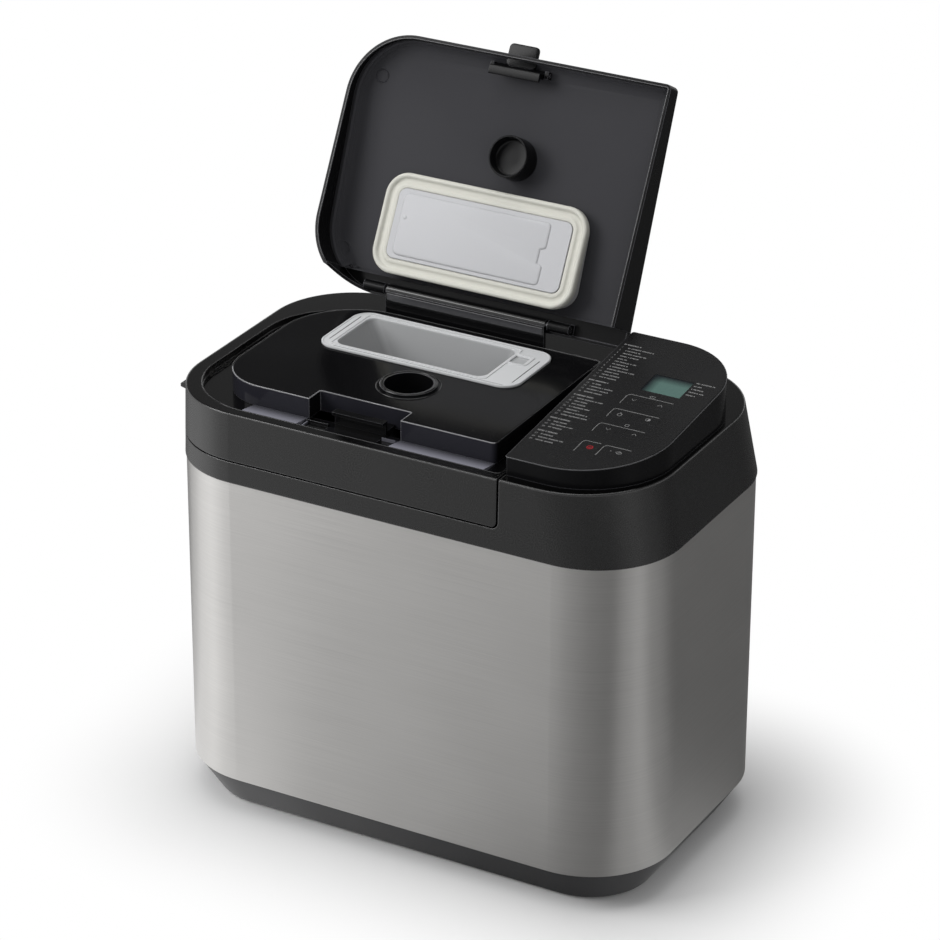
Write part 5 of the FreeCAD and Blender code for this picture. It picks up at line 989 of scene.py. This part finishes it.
class BREADMACHINE_OT_stage(bpy.types.Operator):
    """Lay the pale floor, set the soft lamps and the world, and place the camera"""
    bl_idname = "bread_machine.stage"
    bl_label = "Stage"

    def execute(self, context):
        stage = context.scene.bread_machine_stage
        self.floor()
        self.lamp("key_lamp", stage.key_power, 1.5, 1.5, (-1.75, -1.35, 1.75))
        self.lamp("fill_lamp", stage.fill_power, 1.0, 1.6, (1.6, -1.9, 1.0), shine=False)
        self.lamp("top_lamp", stage.top_power, 2.4, 1.6, (-0.2, 0.1, 2.5))
        self.world(context.scene, stage.ambient)
        self.camera(context.scene, stage.lens)
        context.scene.view_settings.view_transform = "Standard"
        return {"FINISHED"}

    def lamp(self, name, power, wide, high, location, shine=True):
        """Area lamp at a location, its -Z axis pointed to the target."""
        light = bpy.data.lights.new(name, "AREA")
        light.shape = "RECTANGLE"
        light.size, light.size_y = wide, high
        light.energy = power
        way = Vector(location) - Vector(LAMP_TARGET)
        turn = way.to_track_quat("Z", "Y").to_matrix().to_4x4()
        thing = placed(name, light)
        thing.matrix_world = Matrix.Translation(Vector(location)) @ turn
        thing.visible_glossy = shine

    def shown(self, tree):
        """1 for rays of the camera, of gloss and of clear material, which see the white surroundings."""
        path = add(tree, "ShaderNodeLightPath").outputs
        first = worked(tree, "MAXIMUM", path["Is Camera Ray"], path["Is Glossy Ray"])
        return worked(tree, "MAXIMUM", first, path["Is Transmission Ray"])

    def floor(self):
        """Flat disc: radius times (cos, sin), rings set closer near the middle."""
        count, around, reach = 24, 96, 9.0
        radius = reach * np.linspace(0.02, 1, count) ** 2
        flat = radius[:, None, None] * ring_path(0.0, 0.0, 1.0, around)[None]
        points = np.concatenate([flat, np.zeros(flat.shape[:2] + (1,))], -1)
        index = np.arange(count * around).reshape(count, around)
        low, high = index[:-1], index[1:]
        quads = np.stack([low, high, np.roll(high, -1, 1), np.roll(low, -1, 1)], -1).reshape(-1, 4)
        mesh = bpy.data.meshes.new("floor")
        mesh.from_pydata(points.reshape(-1, 3).tolist(), [], quads.tolist() + [index[0].tolist()])
        mesh.materials.append(self.floor_finish())
        thing = placed("floor", mesh)

    def floor_finish(self):
        """Pale paint with the shadow near the machine, fading to plain white by distance from its foot; in
        reflections a glow of painted light and shade.
        """
        foot, fade_from, fade_to = (0.15, 0.07, 0), 0.02, 0.19
        material = bpy.data.materials.new("pale_floor")
        material.use_nodes = True
        tree = material.node_tree
        tree.nodes.clear()
        coords = add(tree, "ShaderNodeTexCoord").outputs["Object"]
        beyond = coords
        for operation, other in (("ABSOLUTE", (0, 0, 0)), ("SUBTRACT", foot), ("MAXIMUM", (0, 0, 0))):
            beyond = add(tree, "ShaderNodeVectorMath", {0: beyond, 1: other}, operation=operation).outputs[0]
        reach = add(tree, "ShaderNodeVectorMath", {0: beyond}, operation="LENGTH").outputs["Value"]
        fade = ranged(tree, reach, fade_from, fade_to, kind="SMOOTHSTEP")
        glossy = add(tree, "ShaderNodeLightPath").outputs["Is Glossy Ray"]
        seen = worked(tree, "MULTIPLY", worked(tree, "MAXIMUM", fade, glossy), self.shown(tree))
        # In reflections the floor shows painted light and shade by direction; to the camera it is white.
        tone = blend(tree, glossy, (1, 1, 1, 1), self.surroundings(tree, coords))
        paint = add(tree, "ShaderNodeBsdfDiffuse", {"Color": (0.9, 0.9, 0.9, 1)})
        white = add(tree, "ShaderNodeEmission", {"Color": tone, "Strength": 1.0})
        mixed = add(tree, "ShaderNodeMixShader", {0: seen, 1: paint.outputs[0], 2: white.outputs[0]})
        add(tree, "ShaderNodeOutputMaterial", {"Surface": mixed.outputs[0]})
        return material

    def surroundings(self, tree, coords):
        """Painted light and shade of the floor in reflections, by the angle of its place round the machine.
        """
        place = parted(tree, coords)
        angle = worked(tree, "ARCTAN2", place["Y"], place["X"])
        ramp = add(tree, "ShaderNodeValToRGB", {0: ranged(tree, angle, -math.pi, math.pi)})
        ramp.color_ramp.interpolation = "EASE"
        points = ramp.color_ramp.elements
        last = len(FLOOR_REFLECTION_GLOW) - 1
        for order, (degrees, level) in enumerate(FLOOR_REFLECTION_GLOW):
            share = (degrees + 180) / 360
            stop = points[0] if order == 0 else points[-1] if order == last else points.new(share)
            stop.position = share
            stop.color = (level, level, level, 1)
        return ramp.outputs[0]

    def world(self, scene, ambient):
        """White surroundings up to a little over the horizon, a dim ceiling, low light for rough surfaces."""
        world = bpy.data.worlds.new("studio")
        world.use_nodes = True
        tree = world.node_tree
        tree.nodes.clear()
        height = parted(tree, add(tree, "ShaderNodeTexCoord").outputs["Generated"])["Z"]
        ceiling = ranged(tree, height, 0.2, 0.42, 1.0, 0.10, "SMOOTHSTEP")
        white = add(tree, "ShaderNodeBackground", {"Color": (1, 1, 1, 1), "Strength": ceiling})
        dim = add(tree, "ShaderNodeBackground", {"Color": (1, 1, 1, 1), "Strength": ambient})
        mixed = add(tree, "ShaderNodeMixShader", {0: self.shown(tree), 1: dim.outputs[0],
                                                  2: white.outputs[0]})
        add(tree, "ShaderNodeOutputWorld", {"Surface": mixed.outputs[0]})
        scene.world = world

    def camera(self, scene, lens):
        """Camera on a sphere round the target, at the photograph's azimuth, elevation and roll."""
        azimuth, elevation, roll = (math.radians(a) for a in (CAMERA_AZIMUTH, CAMERA_ELEVATION, CAMERA_ROLL))
        back = Vector((math.sin(azimuth) * math.cos(elevation), -math.cos(azimuth) * math.cos(elevation),
                       math.sin(elevation)))
        right = Vector((math.cos(azimuth), math.sin(azimuth), 0))
        up = back.cross(right)
        x_axis = right * math.cos(roll) + up * math.sin(roll)
        y_axis = up * math.cos(roll) - right * math.sin(roll)
        turn = Matrix((x_axis, y_axis, back)).transposed().to_4x4()
        data = bpy.data.cameras.new("camera")
        data.lens = lens
        data.sensor_width = 36.0
        data.clip_end = 50.0
        thing = placed("camera", data)
        thing.matrix_world = Matrix.Translation(Vector(CAMERA_TARGET) + back * CAMERA_REACH) @ turn
        scene.camera = thing


STEPS = (BREADMACHINE_OT_finishes, BREADMACHINE_OT_casing, BREADMACHINE_OT_main_lid,
         BREADMACHINE_OT_dispenser, BREADMACHINE_OT_dispenser_lid, BREADMACHINE_OT_latch,
         BREADMACHINE_OT_key_panel, BREADMACHINE_OT_insides, BREADMACHINE_OT_stage)
SETTINGS = {"bread_machine_colours": BreadMachineColours, "bread_machine_sizes": BreadMachineSizes,
            "bread_machine_stage": BreadMachineStage}


class BREADMACHINE_PT_sidebar(bpy.types.Panel):
    """Steps and settings of the bread machine"""
    bl_idname = "BREADMACHINE_PT_sidebar"
    bl_label = "Bread Machine"
    bl_space_type = "VIEW_3D"
    bl_region_type = "UI"
    bl_category = "Bread Machine"

    def draw(self, context):
        for step in STEPS:
            self.layout.operator(step.bl_idname)
        for settings in SETTINGS:
            group = getattr(context.scene, settings)
            for name in group.__annotations__:
                self.layout.prop(group, name)


CLASSES = (*SETTINGS.values(), *STEPS, BREADMACHINE_PT_sidebar)


def register():
    for kind in CLASSES:
        bpy.utils.register_class(kind)
    for name, kind in SETTINGS.items():
        setattr(bpy.types.Scene, name, PointerProperty(type=kind))


def unregister():
    for name in SETTINGS:
        delattr(bpy.types.Scene, name)
    for kind in reversed(CLASSES):
        bpy.utils.unregister_class(kind)


def main():
    register()
    for step in STEPS:
        family, name = step.bl_idname.split(".")
        getattr(getattr(bpy.ops, family), name)()
    bare = sorted(set(NODES) - DRESSED)
    if bare:
        raise RuntimeError("no finish on " + ", ".join(bare))


if __name__ == "__main__":
    main()
